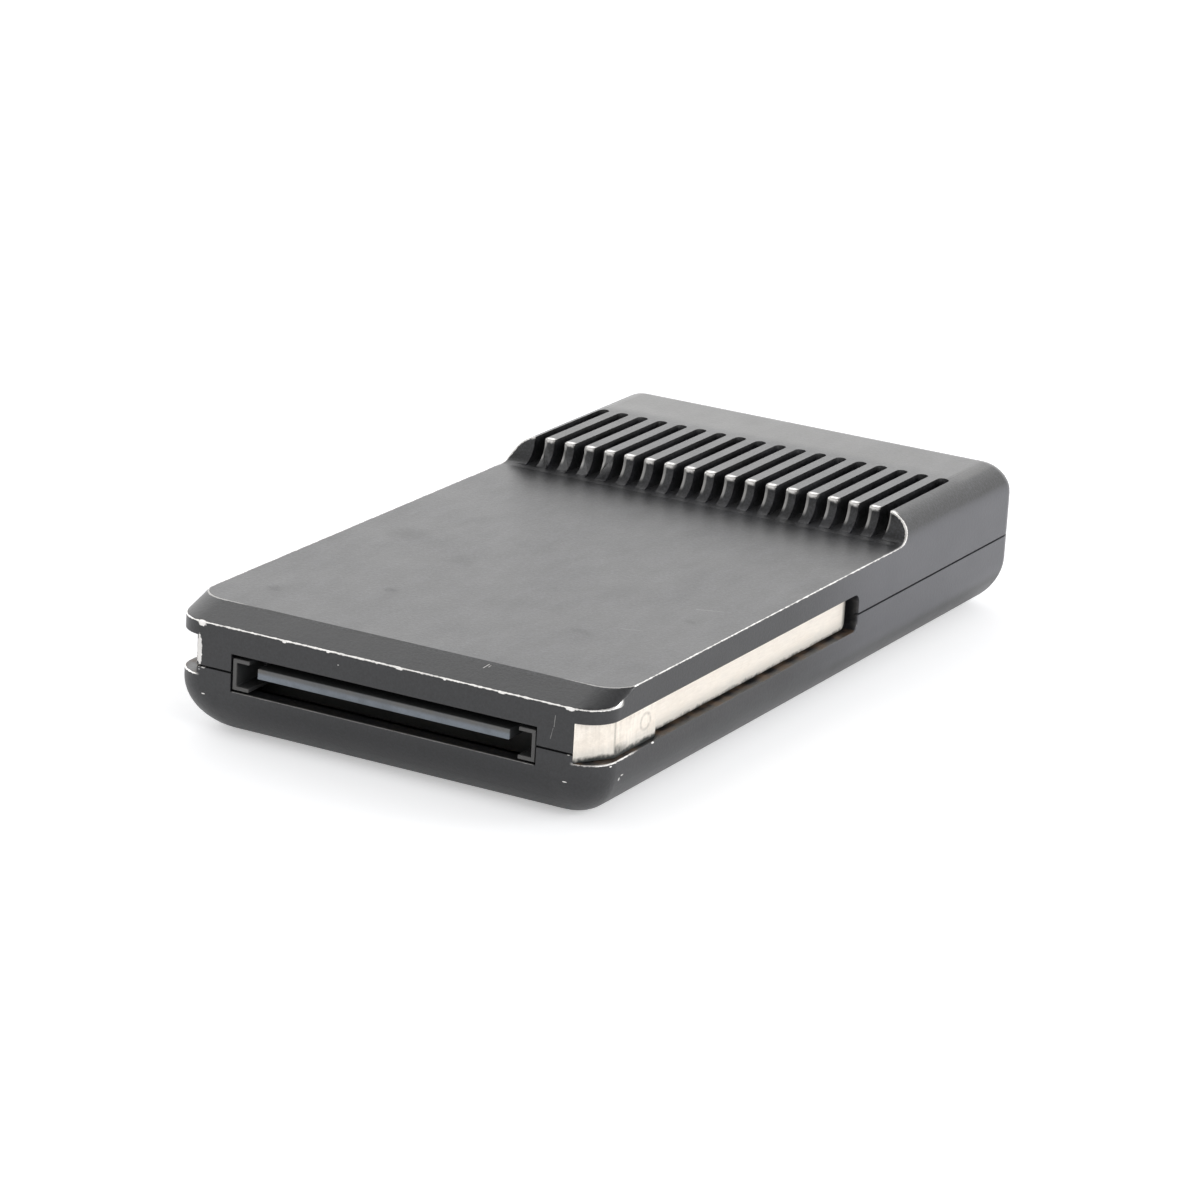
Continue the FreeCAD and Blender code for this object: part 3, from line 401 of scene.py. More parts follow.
@dataclass(frozen=True)
class CaseWear:
    """The worn lines on the case, in millimetres.

    A span holds the place where a line is full and the place where it has ended, and "along" counts
    from the front end.
    """

    front_width: float = 0.125
    front_along: Span = (4.0, 5.0)
    crease_width: float = 0.10
    crease_along: Span = (8.0, 10.0)
    crease_across: Span = (28.0, 22.0)
    crease_strength: float = 0.45
    deck_width: float = 0.105
    deck_along: Span = (6.0, 4.0)
    cove_width: float = 0.20
    tip_reach: Point = (60.0, 0.8, 0.62)
    tip_set_back: float = 0.2
    fin_side_inset: float = 0.1
    fin_side_strength: float = 0.4
    lip_width: float = 0.14
    lip_along: Span = (6.0, 9.5)
    window_width: float = 0.05
    window_along: Span = (0.15, 0.3)
    window_strength: float = 0.3


class CaseShader(Shader):
    """The case's material, with the masks of its worn lines and dirt."""

    def __init__(self, form: CaseForm, wear: CaseWear) -> None:
        """Works out the distances and noises that the masks share.

        Args:
            form: where the case's edges run.
            wear: how wide and how long each worn line is.
        """
        super().__init__("case_anodised")
        self.form = form
        self.wear = wear
        self.fine = self.noise(0.5, 3.0, roughness=0.65)
        self.chipped = self.noise(0.9, 3.0, roughness=0.7)
        self.slow = self.noise(3.5, 2.0)
        self.along = self.y + form.half_length
        self.across = abs(self.x)
        self.above_lip = self.z - form.lip
        self.inside_plan = self.inside_nose(0.0)
        self.under_deck = self.behind_cove()
        self.deck_side = self.under_deck.over(self.inside_walls())

    def inside_corner(self, radius: float, past_side: Value, past_end: Value) -> Value:
        """How far a place lies inside a rounded corner, from how far it is past the corner's centre."""
        outside = past_side.over(0.0).span(past_end.over(0.0))
        return radius - outside - past_side.over(past_end).under(0.0)

    def inside_nose(self, back: float) -> Value:
        """How far a place lies inside the plan outline at the front end, when that is moved back."""
        radius = self.form.front_radius
        past_end = (radius - self.form.half_length + back) - self.y
        return self.inside_corner(radius, self.across - (self.form.half_width - radius), past_end)

    def inside_walls(self) -> Value:
        """How far a place lies inside the side walls and the rounding over them."""
        radius = self.form.grip_radius
        past_top = self.z - (self.form.top - radius)
        return self.inside_corner(radius, self.across - (self.form.half_width - radius), past_top)

    def behind_cove(self) -> Value:
        """How far a place lies under the deck and behind the cove's curve."""
        past_start = (self.y - self.form.cove_start).over(0.0)
        below = (self.form.deck + self.form.cove_radius - self.z).over(0.0)
        return past_start.span(below) - self.form.cove_radius

    def across_fin(self) -> Value:
        """How far a place lies to the right of a fin's left side, in millimetres."""
        lane = ((self.x - self.form.slot_start) / self.form.slot_pitch).maths("FRACT")
        return lane * self.form.slot_pitch - self.form.slot_width

    def line(self, distance: Value, width: float, uneven: Value) -> Value:
        """A worn line of a usual width along an edge, from the distance to it and an uneven noise."""
        ragged = distance - (self.fine - 0.5) * (2.2 * width) - (uneven - 0.5) * (1.4 * width)
        return ragged.fade(width * 0.7, width * 1.1)

    def front_edge(self) -> Value:
        """The bare line under the sloped nose."""
        below_nose = self.form.nose - self.z
        line = self.line(below_nose.over(self.inside_plan), self.wear.front_width, self.chipped)
        line = line * self.along.fade(*self.wear.front_along) * abs(below_nose).fade(0.8, 1.0)
        return line * (0.5 + self.slow).under(1.0)

    def nose_crease(self) -> Value:
        """The faint line between the deck and the nose, which shows towards the corners."""
        from_slope = abs(self.inside_nose(self.form.nose_depth))
        away = abs(self.z - self.form.deck).over(from_slope)
        line = self.line(away, self.wear.crease_width, self.slow) * self.along.fade(*self.wear.crease_along)
        line = line * (self.across + self.slow * 6.0).fade(*self.wear.crease_across)
        return line * self.wear.crease_strength

    def deck_sides(self) -> Value:
        """The thin broken line along the deck's sides."""
        line = self.line(self.deck_side, self.wear.deck_width, self.chipped)
        return line * self.along.fade(*self.wear.deck_along) * (0.15 + self.chipped * 1.4).under(1.0)

    def cove_edge(self) -> Value:
        """The wider line where the side turns up round the cove."""
        line = self.line(self.deck_side, self.wear.cove_width, self.slow)
        return line * self.y.fade(20.0, 18.5) * self.z.fade(15.7, 15.3)

    def fin_tips(self) -> Value:
        """The bright spot on each fin's upper front corner."""
        tip_y = self.form.cove_start + self.form.cove_radius + self.wear.tip_set_back
        away = self.near((0.0, tip_y, self.form.top), self.wear.tip_reach)
        fin_middle = (self.form.slot_pitch - self.form.slot_width) / 2.0
        off_middle = abs(self.across_fin() - fin_middle)
        spots = (away + (self.fine - 0.5) * 0.6).fade(0.5, 1.05)
        return spots * self.across.fade(26.3, 27.0) * off_middle.fade(0.25, 0.85)

    def fin_sides(self) -> Value:
        """The light line down the left side of each fin's front."""
        from_side = abs(self.across_fin() - self.wear.fin_side_inset)
        line = from_side.fade(0.12, 0.36) * self.across.fade(25.3, 25.6) * self.under_deck.fade(0.3, 0.5)
        above_deck = self.z - self.form.deck
        behind = self.y - self.form.cove_start
        return line * above_deck.fade(1.3, 0.7) * behind.fade(3.6, 4.0) * self.wear.fin_side_strength

    def lower_lip(self) -> Value:
        """The line along the lower lip of the grooves, round the front corners."""
        line = self.line((self.above_lip * -1.0).over(self.inside_plan), self.wear.lip_width, self.slow)
        line = line * self.along.fade(*self.wear.lip_along) * self.across.fade(25.5, 24.5)
        return line * self.above_lip.fade(0.05, 0.2)

    def window_edge(self) -> Value:
        """The faint line along the lower edge of the plug's window."""
        away = abs(self.z - self.form.window_floor)
        line = self.line(away, self.wear.window_width, self.slow) * self.along.fade(*self.wear.window_along)
        half = self.form.window_half
        return line * self.across.fade(half - 0.3, half) * self.wear.window_strength

    def worn(self) -> Value:
        """Every worn line, chip and scratch as one mask."""
        lines = (self.front_edge(), self.nose_crease(), self.deck_sides(), self.cove_edge(),
                 self.fin_tips(), self.fin_sides(), self.lower_lip(), self.window_edge())
        marks = (mark.mask(self, self.fine) for mark in (*CHIPS, *SCRATCHES))
        return reduce(Value.over, (*lines, *marks))

    def lip_grime(self) -> Value:
        """Brown dirt on the lower lip beside the rails."""
        ledge = abs(self.above_lip).fade(0.12, 0.2) * self.inside_plan.fade(0.12, 0.03)
        patches = self.noise(2.5, 3.0).fade(0.35, 0.62)
        return ledge * self.across.fade(24.6, 24.0) * patches * self.y.fade(9.4, 10.5)


@dataclass(frozen=True)
class CaseFinish:
    """Satin dark anodised aluminium, worn bright along its edges."""

    form: CaseForm
    wear: CaseWear = CaseWear()
    colour: Colour = (0.0105, 0.0108, 0.0125)
    bare: Colour = (0.93, 0.91, 0.88)
    grime_and_shade: Colour = (0.10, 0.065, 0.04)
    grip_sheen: Colour = (0.11, 0.108, 0.104)
    side_sheen: Colour = (0.068, 0.069, 0.078)
    index: float = 1.65
    rear_band: Span = (43.5, 40.0)
    sheen_along: Span = (18.0, -12.0)

    def smudges(self, shader: Shader, blot: Value) -> Value:
        """The dull spots on the deck, with uneven edges from a noise."""
        return reduce(Value.over, (mark.mask(shader, blot) for mark in SMUDGES))

    def grip_sheen_share(self, shader: Shader, mottle: Value) -> Value:
        """How much painted sheen pales the grip's top, mostly near its rear and towards the left."""
        grip_top = shader.z.fade(self.form.top - 0.25, self.form.top - 0.6)
        rear_band = 0.15 + shader.y.fade(*self.rear_band) * 0.85
        return grip_top * rear_band * (0.45 + mottle * 0.9 - shader.x * 0.016).under(1.0).over(0.0)

    def material(self) -> Material:
        """The finished material."""
        form = self.form
        shader = CaseShader(form, self.wear)
        blot = shader.noise(1.1, 3.0)
        worn, dirt, smudge = shader.worn(), shader.lip_grime(), self.smudges(shader, blot)
        grain = shader.noise(0.3, 2.0, roughness=0.7)
        mottle = shader.noise(9.0, 4.0, roughness=0.6)
        streak = shader.noise(2.2, 3.0, stretch=(1.0, 3.0, 1.0))
        on_top = shader.z.fade(form.deck - 0.1, form.deck - 0.3)
        cloudy = (grain - 0.5) * 6.0 + (mottle - 0.5) * 3.5 + (streak - 0.5) * 2.0
        tone = grain * 2.6 + mottle * 0.5 + streak * 0.2 - 0.6 - smudge * 0.5 + cloudy * on_top
        base = shader.shade(self.colour, tone.over(0.1))
        # painted sheen: the grip's top is paler, most near its rear and towards the left
        paled = shader.shade(self.grip_sheen, 0.7 + grain * 0.6)
        base = shader.mix(self.grip_sheen_share(shader, mottle), base, paled)
        # painted sheen: the side walls are lighter and bluer towards the rear
        side_wall = abs(shader.x).fade(form.half_width - 0.05, form.half_width - 0.5)
        base = shader.mix(side_wall * shader.y.fade(*self.sheen_along), base, self.side_sheen)
        base = shader.mix(dirt, base, self.grime_and_shade)
        metal = shader.shade(self.bare, 0.8 + blot * 0.35)
        roughness = 0.31 + mottle * 0.14 + smudge * 0.14 - streak * 0.06 + dirt * 0.2
        height = grain * 0.4 + shader.noise(0.5, 3.0, roughness=0.7) * 0.6 - worn * 0.5
        return shader.surface(shader.mix(worn, base, metal), roughness, worn,
                              shader.bump(height, 0.05, 0.65), {"IOR": self.index})


@dataclass(frozen=True)
class RailFinish:
    """Bare brushed metal strip, stained at its nose, with painted shade along its lower edge and at its
    rear end.
    """

    form: CaseForm
    colour: Colour = (0.96, 0.89, 0.80)
    stain: Colour = (0.58, 0.51, 0.43)
    low_shade: Colour = (0.34, 0.37, 0.36)
    grime_and_shade: Colour = (0.030, 0.034, 0.032)
    lead_in_end: float = -49.95
    nose_end: Span = (13.3, 14.2)
    ring_centre: Point = (28.0, -43.0, 10.1)
    ring_reach: Point = (6.0, 1.1, 0.95)
    blotch_centre: Point = (28.0, -49.65, 7.4)
    blotch_reach: Point = (6.0, 3.6, 2.5)

    def soil_and_shade(self, shader: Shader, low: Value, patch: Value, spot: Value) -> Value:
        """Black painted shade at the lower edge and the rear end, the dark stain behind the bend, and the
        ring on the nose.

        Args:
            shader: the material that asks.
            low: how far a place is above the lip, made uneven.
            patch: the wide noise.
            spot: the fine noise.

        Returns:
            The mask.
        """
        # painted shade: the strip's rear end, deep in the groove, is darkened
        end_shade = shader.y.fade(self.form.groove_end - 1.4, self.form.groove_end - 2.3)
        ring = abs(shader.near(self.ring_centre, self.ring_reach) - 1.0).fade(0.02, 0.35)
        ring = ring * (0.05 + spot * 0.4)
        blotch = shader.near(self.blotch_centre, self.blotch_reach) + (patch - 0.5) * 0.8
        behind_bend = (shader.y - self.lead_in_end).fade(0.02, -0.05)
        blotch = blotch.fade(0.35, 1.0) * behind_bend * (0.35 + spot * 0.9).under(0.92)
        # painted shade: the strip's lower edge above the lip is blackened; the ring and the blotch are
        # stains
        return low.fade(0.20, 0.85).over(end_shade * 0.85).over(ring).over(blotch)

    def material(self) -> Material:
        """The finished material."""
        shader = Shader("rail_metal")
        brushed = shader.noise(0.12, 3.0, stretch=(1.0, 18.0, 1.0))
        upright = shader.noise(0.35, 3.0, stretch=(1.0, 1.0, 9.0))
        patch = shader.noise(3.0, 4.0, stretch=(1.0, 2.0, 1.0), roughness=0.65)
        spot = shader.noise(0.5, 3.0)
        nose_part = (shader.y + self.form.half_length).fade(*self.nose_end)
        tone = 0.72 + brushed * 0.24 + patch * 0.34 + nose_part * 0.05
        tone = tone + (upright - 0.5) * 0.40 * nose_part
        # painted shade: a dark line along the bend at the lead-in's end
        tone = tone - abs(shader.y - self.lead_in_end).fade(0.06, 0.22) * 0.45
        base = shader.shade(self.colour, tone)
        stained = (patch + (spot - 0.5) * 0.25).fade(0.70, 0.40) * (0.25 + nose_part * 0.15)
        base = shader.mix(stained, base, self.stain)
        low = shader.z - self.form.lip + (spot - 0.5) * 0.6 + (patch - 0.5) * 1.1
        # painted shade: a soft teal darkening over the strip's lower part
        base = shader.mix(low.fade(0.5, 2.2) * 0.35, base, self.low_shade)
        soil_and_shade = self.soil_and_shade(shader, low, patch, spot)
        base = shader.mix(soil_and_shade, base, self.grime_and_shade)
        return shader.surface(base, 0.30 + patch * 0.15 + soil_and_shade * 0.35, 0.4 - soil_and_shade * 0.35,
                              shader.bump(brushed, 0.01, 0.3))


@dataclass(frozen=True)
class MouldedFinish:
    """Moulded plastic with a fine grain."""

    name: str
    colour: Colour
    roughness: float = 0.5
    grain: float = 0.2
    depth: float = 0.01

    def material(self) -> Material:
        """The finished material."""
        shader = Shader(self.name)
        fine = shader.noise(self.grain, 3.0)
        wide = shader.noise(self.grain * 25.0, 3.0)
        base = shader.shade(self.colour, 0.75 + fine * 0.3 + wide * 0.2)
        roughness = self.roughness - 0.05 + wide * 0.1
        return shader.surface(base, roughness, 0.0, shader.bump(fine, self.depth, 0.4))


@dataclass(frozen=True)
class PlugFinish:
    """The plug's glass-filled plastic, dull grey inside, with painted light on its front faces."""

    front: float
    tongue_middle: float
    colour: Colour = (0.040, 0.041, 0.042)
    tongue: Colour = (0.190, 0.215, 0.245)
    tongue_top: Colour = (0.130, 0.128, 0.122)
    posts: Colour = (0.095, 0.093, 0.091)
    post_span: Span = (17.3, 16.9)

    def material(self) -> Material:
        """The finished material."""
        shader = Shader("connector_plastic")
        fine = shader.noise(0.2, 3.0)
        wide = shader.noise(2.5, 3.0)
        # painted light: the front faces are paler than the plastic further in, bluish grey low on the
        # tongue, greyer above it and on the posts
        lit_front = (shader.y - self.front).fade(0.12, 0.3) * (0.55 + wide * 0.8).under(1.0)
        upper = (shader.z - self.tongue_middle).fade(0.35, -0.1) * (0.4 + wide * 0.9).under(1.0)
        tip = shader.mix(upper, self.tongue, self.tongue_top)
        tip = shader.mix(abs(shader.x).fade(*self.post_span), tip, self.posts)
        base = shader.mix(lit_front, self.colour, tip)
        base = shader.shade(base, 0.72 + fine * 0.3 + wide * 0.25)
        return shader.surface(base, 0.40 + wide * 0.12, 0.0, shader.bump(fine, 0.012, 0.4))


@dataclass(frozen=True)
class PlatedFinish:
    """Plated or bare metal with fine drawing lines and a light tarnish."""

    name: str
    colour: Colour
    tarnish: Colour
    roughness: float = 0.3
    amount: float = 0.35

    def material(self) -> Material:
        """The finished material."""
        shader = Shader(self.name)
        drawn = shader.noise(0.05, 2.0, stretch=(1.0, 12.0, 1.0))
        cloud = shader.noise(1.5, 4.0, roughness=0.6)
        aged = cloud.fade(0.62, 0.42) * self.amount
        base = shader.mix(aged, shader.shade(self.colour, 0.88 + drawn * 0.2), self.tarnish)
        return shader.surface(base, self.roughness + aged * 0.25, 1.0, shader.bump(drawn, 0.004, 0.3))


@dataclass(frozen=True)
class BoardFinish:
    """Solder mask over glass cloth, with the tracks faintly raised."""

    name: str
    colour: Colour
    track: Colour
    pitch: float = 1.3

    def material(self) -> Material:
        """The finished material."""
        shader = Shader(self.name)
        warp = shader.noise(4.0, 1.0)
        weave = shader.noise(0.25, 1.0, stretch=(1.0, 1.0, 8.0))
        lane = ((shader.x + warp * 2.5) / self.pitch).maths("FRACT")
        track = abs(lane - 0.5).fade(0.16, 0.20) * shader.noise(9.0, 1.0).fade(0.60, 0.50)
        base = shader.shade(shader.mix(track * 0.6, self.colour, self.track), 0.85 + weave * 0.3)
        height = track * 0.7 + weave * 0.3
        return shader.surface(base, 0.28 + weave * 0.1, 0.0, shader.bump(height, 0.03, 0.5),
                              {"Coat Weight": 0.3})


MERGE_DISTANCE = 0.0005
FLAT_ANGLE = 0.4
BEVEL_ANGLE = 17.3
BEVEL_SEGMENTS = 3


def deselect_all() -> None:
    """Clears the selection, which an operator would act on."""
    bpy.ops.object.select_all(action="DESELECT")


def edit(piece: Piece, steps: Callable[[], None]) -> None:
    """Runs edit-mode steps on one piece with all of it selected.

    Args:
        piece: the object to edit.
        steps: what to do in edit mode.
    """
    deselect_all()
    piece.select_set(True)
    bpy.context.view_layer.objects.active = piece
    bpy.ops.object.mode_set(mode="EDIT")
    bpy.ops.mesh.select_all(action="SELECT")
    steps()
    bpy.ops.object.mode_set(mode="OBJECT")


def apply_modifier(piece: Piece, kind: str, settings: dict) -> None:
    """Adds a modifier to the active piece and applies it.

    Args:
        piece: the object that it works on.
        kind: the modifier's type.
        settings: the modifier's settings.
    """
    bpy.context.view_layer.objects.active = piece
    modifier = piece.modifiers.new(kind.lower(), kind)
    for key, setting in settings.items():
        setattr(modifier, key, setting)
    bpy.ops.object.modifier_apply(modifier=modifier.name)


def softened(node: str, piece_name: str, edge_width: float, smooth_angle: float = 50.0) -> Piece:
    """A copy of a CAD node whose sharp edges have the small rounding of the real piece.

    Args:
        node: the CAD node to copy and stand for.
        piece_name: the new piece's name.
        edge_width: how wide the rounding is, in millimetres.
        smooth_angle: the largest angle in degrees that is shaded as one surface.

    Returns:
        The new piece.
    """
    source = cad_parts[node]
    piece = bpy.data.objects.new(piece_name, source.data.copy())
    bpy.context.collection.objects.link(piece)
    piece.data.name = piece_name

    def merge() -> None:
        """Joins the loose triangles and dissolves the flat ones."""
        bpy.ops.mesh.remove_doubles(threshold=MERGE_DISTANCE * MM)
        bpy.ops.mesh.dissolve_limited(angle_limit=math.radians(FLAT_ANGLE))

    edit(piece, merge)
    if "custom_normal" in piece.data.attributes:
        bpy.ops.mesh.customdata_custom_splitnormals_clear()
    apply_modifier(piece, "BEVEL", {"width": edge_width * MM, "segments": BEVEL_SEGMENTS,
                                    "limit_method": "ANGLE", "angle_limit": math.radians(BEVEL_ANGLE)})
    bpy.ops.object.shade_smooth_by_angle(angle=math.radians(smooth_angle))
    apply_modifier(piece, "WEIGHTED_NORMAL", {"keep_sharp": True})
    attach(piece, "root")
    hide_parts(node)
    return piece


def dress(piece: Piece, material: Material) -> None:
    """Gives a piece its material.

    Args:
        piece: a CAD node's object or a new piece.
        material: the finished material.
    """
    if piece.material_slots:
        for place in piece.material_slots:
            place.link = "OBJECT"
            place.material = material
    else:
        piece.data.materials.append(material)


@dataclass
class Case:
    """The two halves of the aluminium case."""

    form: CaseForm
    edge_width: float = 0.12

    def build(self) -> None:
        """Makes both halves with their small edge rounding and dresses them."""
        material = CaseFinish(self.form).material()
        for node, name in (("upper_case", "upper_shell"), ("lower_case", "lower_shell")):
            piece = softened(node, name, self.edge_width)
            dress(piece, material)
            LOG.info("%s has %d faces", name, len(piece.data.polygons))


@dataclass
class GuideRails:
    """The bare metal strips in the side grooves."""

    form: CaseForm
    edge_width: float = 0.06
    smooth_angle: float = 26.0

    def build(self) -> None:
        """Makes both strips and dresses them."""
        material = RailFinish(self.form).material()
        for side in ("left", "right"):
            piece = softened(f"guide_rail_{side}", f"rail_strip_{side}", self.edge_width,
                             self.smooth_angle)
            dress(piece, material)
            LOG.info("rail_strip_%s is in its groove", side)


@dataclass
class Connector:
    """The drive's plug with its contacts and brackets."""

    edge_width: float = 0.08
    tongue_middle: float = 9.185

    def build(self) -> None:
        """Softens the moulded plug and dresses the contacts and brackets."""
        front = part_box("connector_housing")[0].y / MM
        plastic = PlugFinish(front, self.tongue_middle).material()
        piece = softened("connector_housing", "plug_moulding", self.edge_width)
        dress(piece, plastic)
        gold = PlatedFinish("contact_gold", (0.90, 0.66, 0.30), (0.42, 0.30, 0.16), roughness=0.22)
        tin = PlatedFinish("tinned_steel", (0.72, 0.72, 0.70), (0.38, 0.36, 0.33), roughness=0.34)
        contact = gold.material()
        for node in ("signal_contacts", "power_contacts", "socket_contacts"):
            dress(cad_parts[node], contact)
        dress(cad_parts["connector_brackets"], tin.material())
        dress(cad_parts["module_socket"], plastic)
        LOG.info("connector dressed")


@dataclass
class Electronics:
    """The carrier board, the flash module and all that sits on them."""

    def build(self) -> None:
        """Dresses each inner node."""
        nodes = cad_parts
        green = BoardFinish("board_green", (0.012, 0.075, 0.035), (0.03, 0.15, 0.06))
        blue = BoardFinish("module_green", (0.008, 0.040, 0.050), (0.02, 0.09, 0.10), pitch=0.9)
        chip = MouldedFinish("chip_plastic", (0.020, 0.020, 0.022), roughness=0.55, grain=0.12)
        pad = MouldedFinish("pad_grey", (0.30, 0.33, 0.38), roughness=0.85, grain=0.6, depth=0.05)
        ceramic = MouldedFinish("ceramic", (0.36, 0.25, 0.15), roughness=0.6, grain=0.1)
        crystal = PlatedFinish("crystal_can", (0.80, 0.80, 0.78), (0.45, 0.45, 0.43), roughness=0.25)
        dress(nodes["main_board"], green.material())
        dress(nodes["module_board"], blue.material())
        groups = {
            chip: (Slot.CHIP, ("controller_chip", "cache_chip", "flash_chip_1", "flash_chip_2",
                               "flash_chip_3", "flash_chip_4", "module_power_chip", "regulator_chip",
                               "id_chip", "protection_chips")),
            pad: (Slot.PAD, ("upper_thermal_pad", "lower_thermal_pad")),
            ceramic: (Slot.CERAMIC, ("power_inductor", "board_capacitors", "module_capacitors")),
            crystal: (Slot.CRYSTAL, ("clock_crystal",)),
        }
        for finish, (slot, names) in groups.items():
            material = finish.material()
            for name in names:
                dress(nodes[name], material)
        LOG.info("inner pieces dressed")


def rod(place: Sequence[float], heights: Sequence[float], radii: Sequence[float],
        sides: int = 48) -> Piece:
    """A bar or cone that stands upright.

    Args:
        place: its x and y in millimetres.
        heights: where it starts and ends.
        radii: its radius at the start and at the end.
        sides: how many sides it has.

    Returns:
        The new object.
    """
    deselect_all()
    low, high = sorted(heights)
    first, last = radii if heights[0] < heights[1] else reversed(radii)
    bpy.ops.mesh.primitive_cone_add(
        vertices=sides, radius1=first * MM, radius2=last * MM, depth=(high - low) * MM,
        location=(place[0] * MM, place[1] * MM, (low + high) / 2.0 * MM))
    return bpy.context.active_object


def joined(pieces: Sequence[Piece], name: str) -> Piece:
    """Joins pieces into one object with its origin at the frame's origin.

    Args:
        pieces: the objects, of which the first one is kept.
        name: the joined object's name.

    Returns:
        The joined object.
    """
    deselect_all()
    for piece in pieces:
        piece.select_set(True)
    whole = pieces[0]
    bpy.context.view_layer.objects.active = whole
    bpy.ops.object.join()
    bpy.ops.object.transform_apply(location=True, rotation=True, scale=True)
    whole.name = whole.data.name = name
    return whole


@dataclass(frozen=True)
class ScrewSet:
    """Screws of one kind, with a driven head and a real thread, that stand for a CAD node.

    Sizes are in millimetres, and the head is at the bottom of a set whose heading is -1. The thread's
    depth is in ridges, the drive's depth in head heights and the point's sizes in root radii.
    """

    node: str
    name: str
    heading: int
    head_radius: float
    head_height: float
    neck_radius: float
    shank_radius: float
    pitch: float
    drive_radius: float
    ridge: float = 0.12
    rim_height: float = 0.08
    drive_sides: int = 6
    drive_above: float = 0.2
    drive_depth: float = 0.6
    thread_depth: float = 1.4
    thread_steps: int = 20
    point_length: float = 0.5
    point_radius: float = 0.6
    overlap: float = 0.1
    merge_distance: float = 0.001
    smooth_angle: float = 32.0

    def places(self) -> list[tuple[float, float]]:
        """Where the screws stand, from the corners of the CAD node's box."""
        low, high = (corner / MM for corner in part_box(self.node))
        xs = sorted({round(low.x + self.head_radius, 3), round(high.x - self.head_radius, 3)})
        ys = sorted({round(low.y + self.head_radius, 3), round(high.y - self.head_radius, 3)})
        return [(x, y) for x in xs for y in ys]

    def thread(self, place: Sequence[float], start: float, end: float) -> Piece:
        """The thread's ridge, wound round the shank.

        Args:
            place: the screw's x and y.
            start: the ridge's lowest height.
            end: its highest height.

        Returns:
            The ridge.
        """
        deselect_all()
        quarter = math.pi / 2.0
        bpy.ops.mesh.primitive_circle_add(vertices=3, radius=self.ridge * MM,
                                          rotation=(quarter, quarter, 0.0))
        ridge = bpy.context.active_object
        bpy.ops.object.transform_apply(rotation=True)
        middle = (self.shank_radius - self.ridge) * MM
        edit(ridge, lambda: bpy.ops.transform.translate(value=(middle, 0.0, 0.0)))
        ridge.location = (place[0] * MM, place[1] * MM, start * MM)
        turns = int((end - start) / self.pitch)
        apply_modifier(ridge, "SCREW", {"screw_offset": self.pitch * MM, "iterations": turns,
                                        "steps": self.thread_steps,
                                        "render_steps": self.thread_steps})

        def close() -> None:
            """Closes the ridge's two ends and turns its faces outwards."""
            bpy.ops.mesh.remove_doubles(threshold=self.merge_distance * MM)
            bpy.ops.mesh.fill_holes(sides=3)
            bpy.ops.mesh.normals_make_consistent(inside=False)

        edit(ridge, close)
        return ridge

    def screw(self, place: Sequence[float], top: float, tip: float) -> list[Piece]:
        """One screw's head, shank and thread.

        Args:
            place: its x and y.
            top: the height of the head's driven face.
            tip: the height of the tip.

        Returns:
            The pieces.
        """
        seat = top - self.heading * self.head_height
        rim = top - self.heading * self.rim_height
        cap = rod(place, (top, rim), (self.head_radius,) * 2)
        head = rod(place, (rim, seat), (self.head_radius, self.neck_radius))
        head = joined((head, cap), "screw_head")
        edit(head, lambda: bpy.ops.mesh.remove_doubles(threshold=self.merge_distance * MM))
        drive_ends = (top + self.heading * self.drive_above,
                      top - self.heading * self.head_height * self.drive_depth)
        drive = rod(place, drive_ends, (self.drive_radius,) * 2, self.drive_sides)
        apply_modifier(head, "BOOLEAN", {"operation": "DIFFERENCE", "object": drive, "solver": "EXACT"})
        bpy.data.objects.remove(drive)
        root = self.shank_radius - self.thread_depth * self.ridge
        shank_end = tip + self.heading * root * self.point_length
        shank = rod(place, (seat, shank_end), (root,) * 2)
        point = rod(place, (shank_end, tip), (root, root * self.point_radius))
        low, high = sorted((seat - self.heading * self.overlap, shank_end))
        ridge = self.thread(place, low + self.ridge, high - self.ridge)
        return [head, shank, point, ridge]

    def build(self, material: Material, slot: Slot) -> None:
        """Makes every screw of the set as one object and dresses it.

        Args:
            material: the finished metal.
            slot: not used.
        """
        low, high = (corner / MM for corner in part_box(self.node))
        top, tip = (low.z, high.z) if self.heading < 0 else (high.z, low.z)
        pieces = [piece for place in self.places() for piece in self.screw(place, top, tip)]
        whole = joined(pieces, self.name)
        bpy.ops.object.shade_smooth_by_angle(angle=math.radians(self.smooth_angle))
        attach(whole, "root")
        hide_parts(self.node)
        dress(whole, material)
        LOG.info("%s: %d screws", self.name, len(self.places()))


@dataclass
class Fasteners:
    """The screws and the module's standoff."""

    def build(self) -> None:
        """Makes the screws and dresses the standoff."""
        black = PlatedFinish("screw_black", (0.10, 0.10, 0.10), (0.30, 0.26, 0.22), 0.38).material()
        steel = PlatedFinish("screw_steel", (0.74, 0.73, 0.71), (0.42, 0.40, 0.37), 0.28).material()
        brass = PlatedFinish("brass_plain", (0.84, 0.64, 0.30), (0.48, 0.34, 0.16), 0.3).material()
        countersunk = ScrewSet("case_screws", "countersunk_case_screws", heading=-1, head_radius=2.2,
                               head_height=1.3, neck_radius=1.22, shank_radius=1.22, pitch=0.45,
                               drive_radius=0.75)
        pan = ScrewSet("board_screws", "pan_board_screws", heading=1, head_radius=1.9, head_height=1.3,
                       neck_radius=1.9, shank_radius=0.8, pitch=0.4, drive_radius=0.62)
        flat = ScrewSet("module_screw", "flat_module_screw", heading=1, head_radius=2.75,
                        head_height=0.7, neck_radius=2.75, shank_radius=0.95, pitch=0.4,
                        drive_radius=0.75)
        countersunk.build(black, Slot.BLACK_SCREW)
        pan.build(steel, Slot.STEEL_SCREW)
        flat.build(steel, Slot.STEEL_SCREW)
        dress(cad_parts["module_standoff"], brass)
        LOG.info("fasteners dressed")


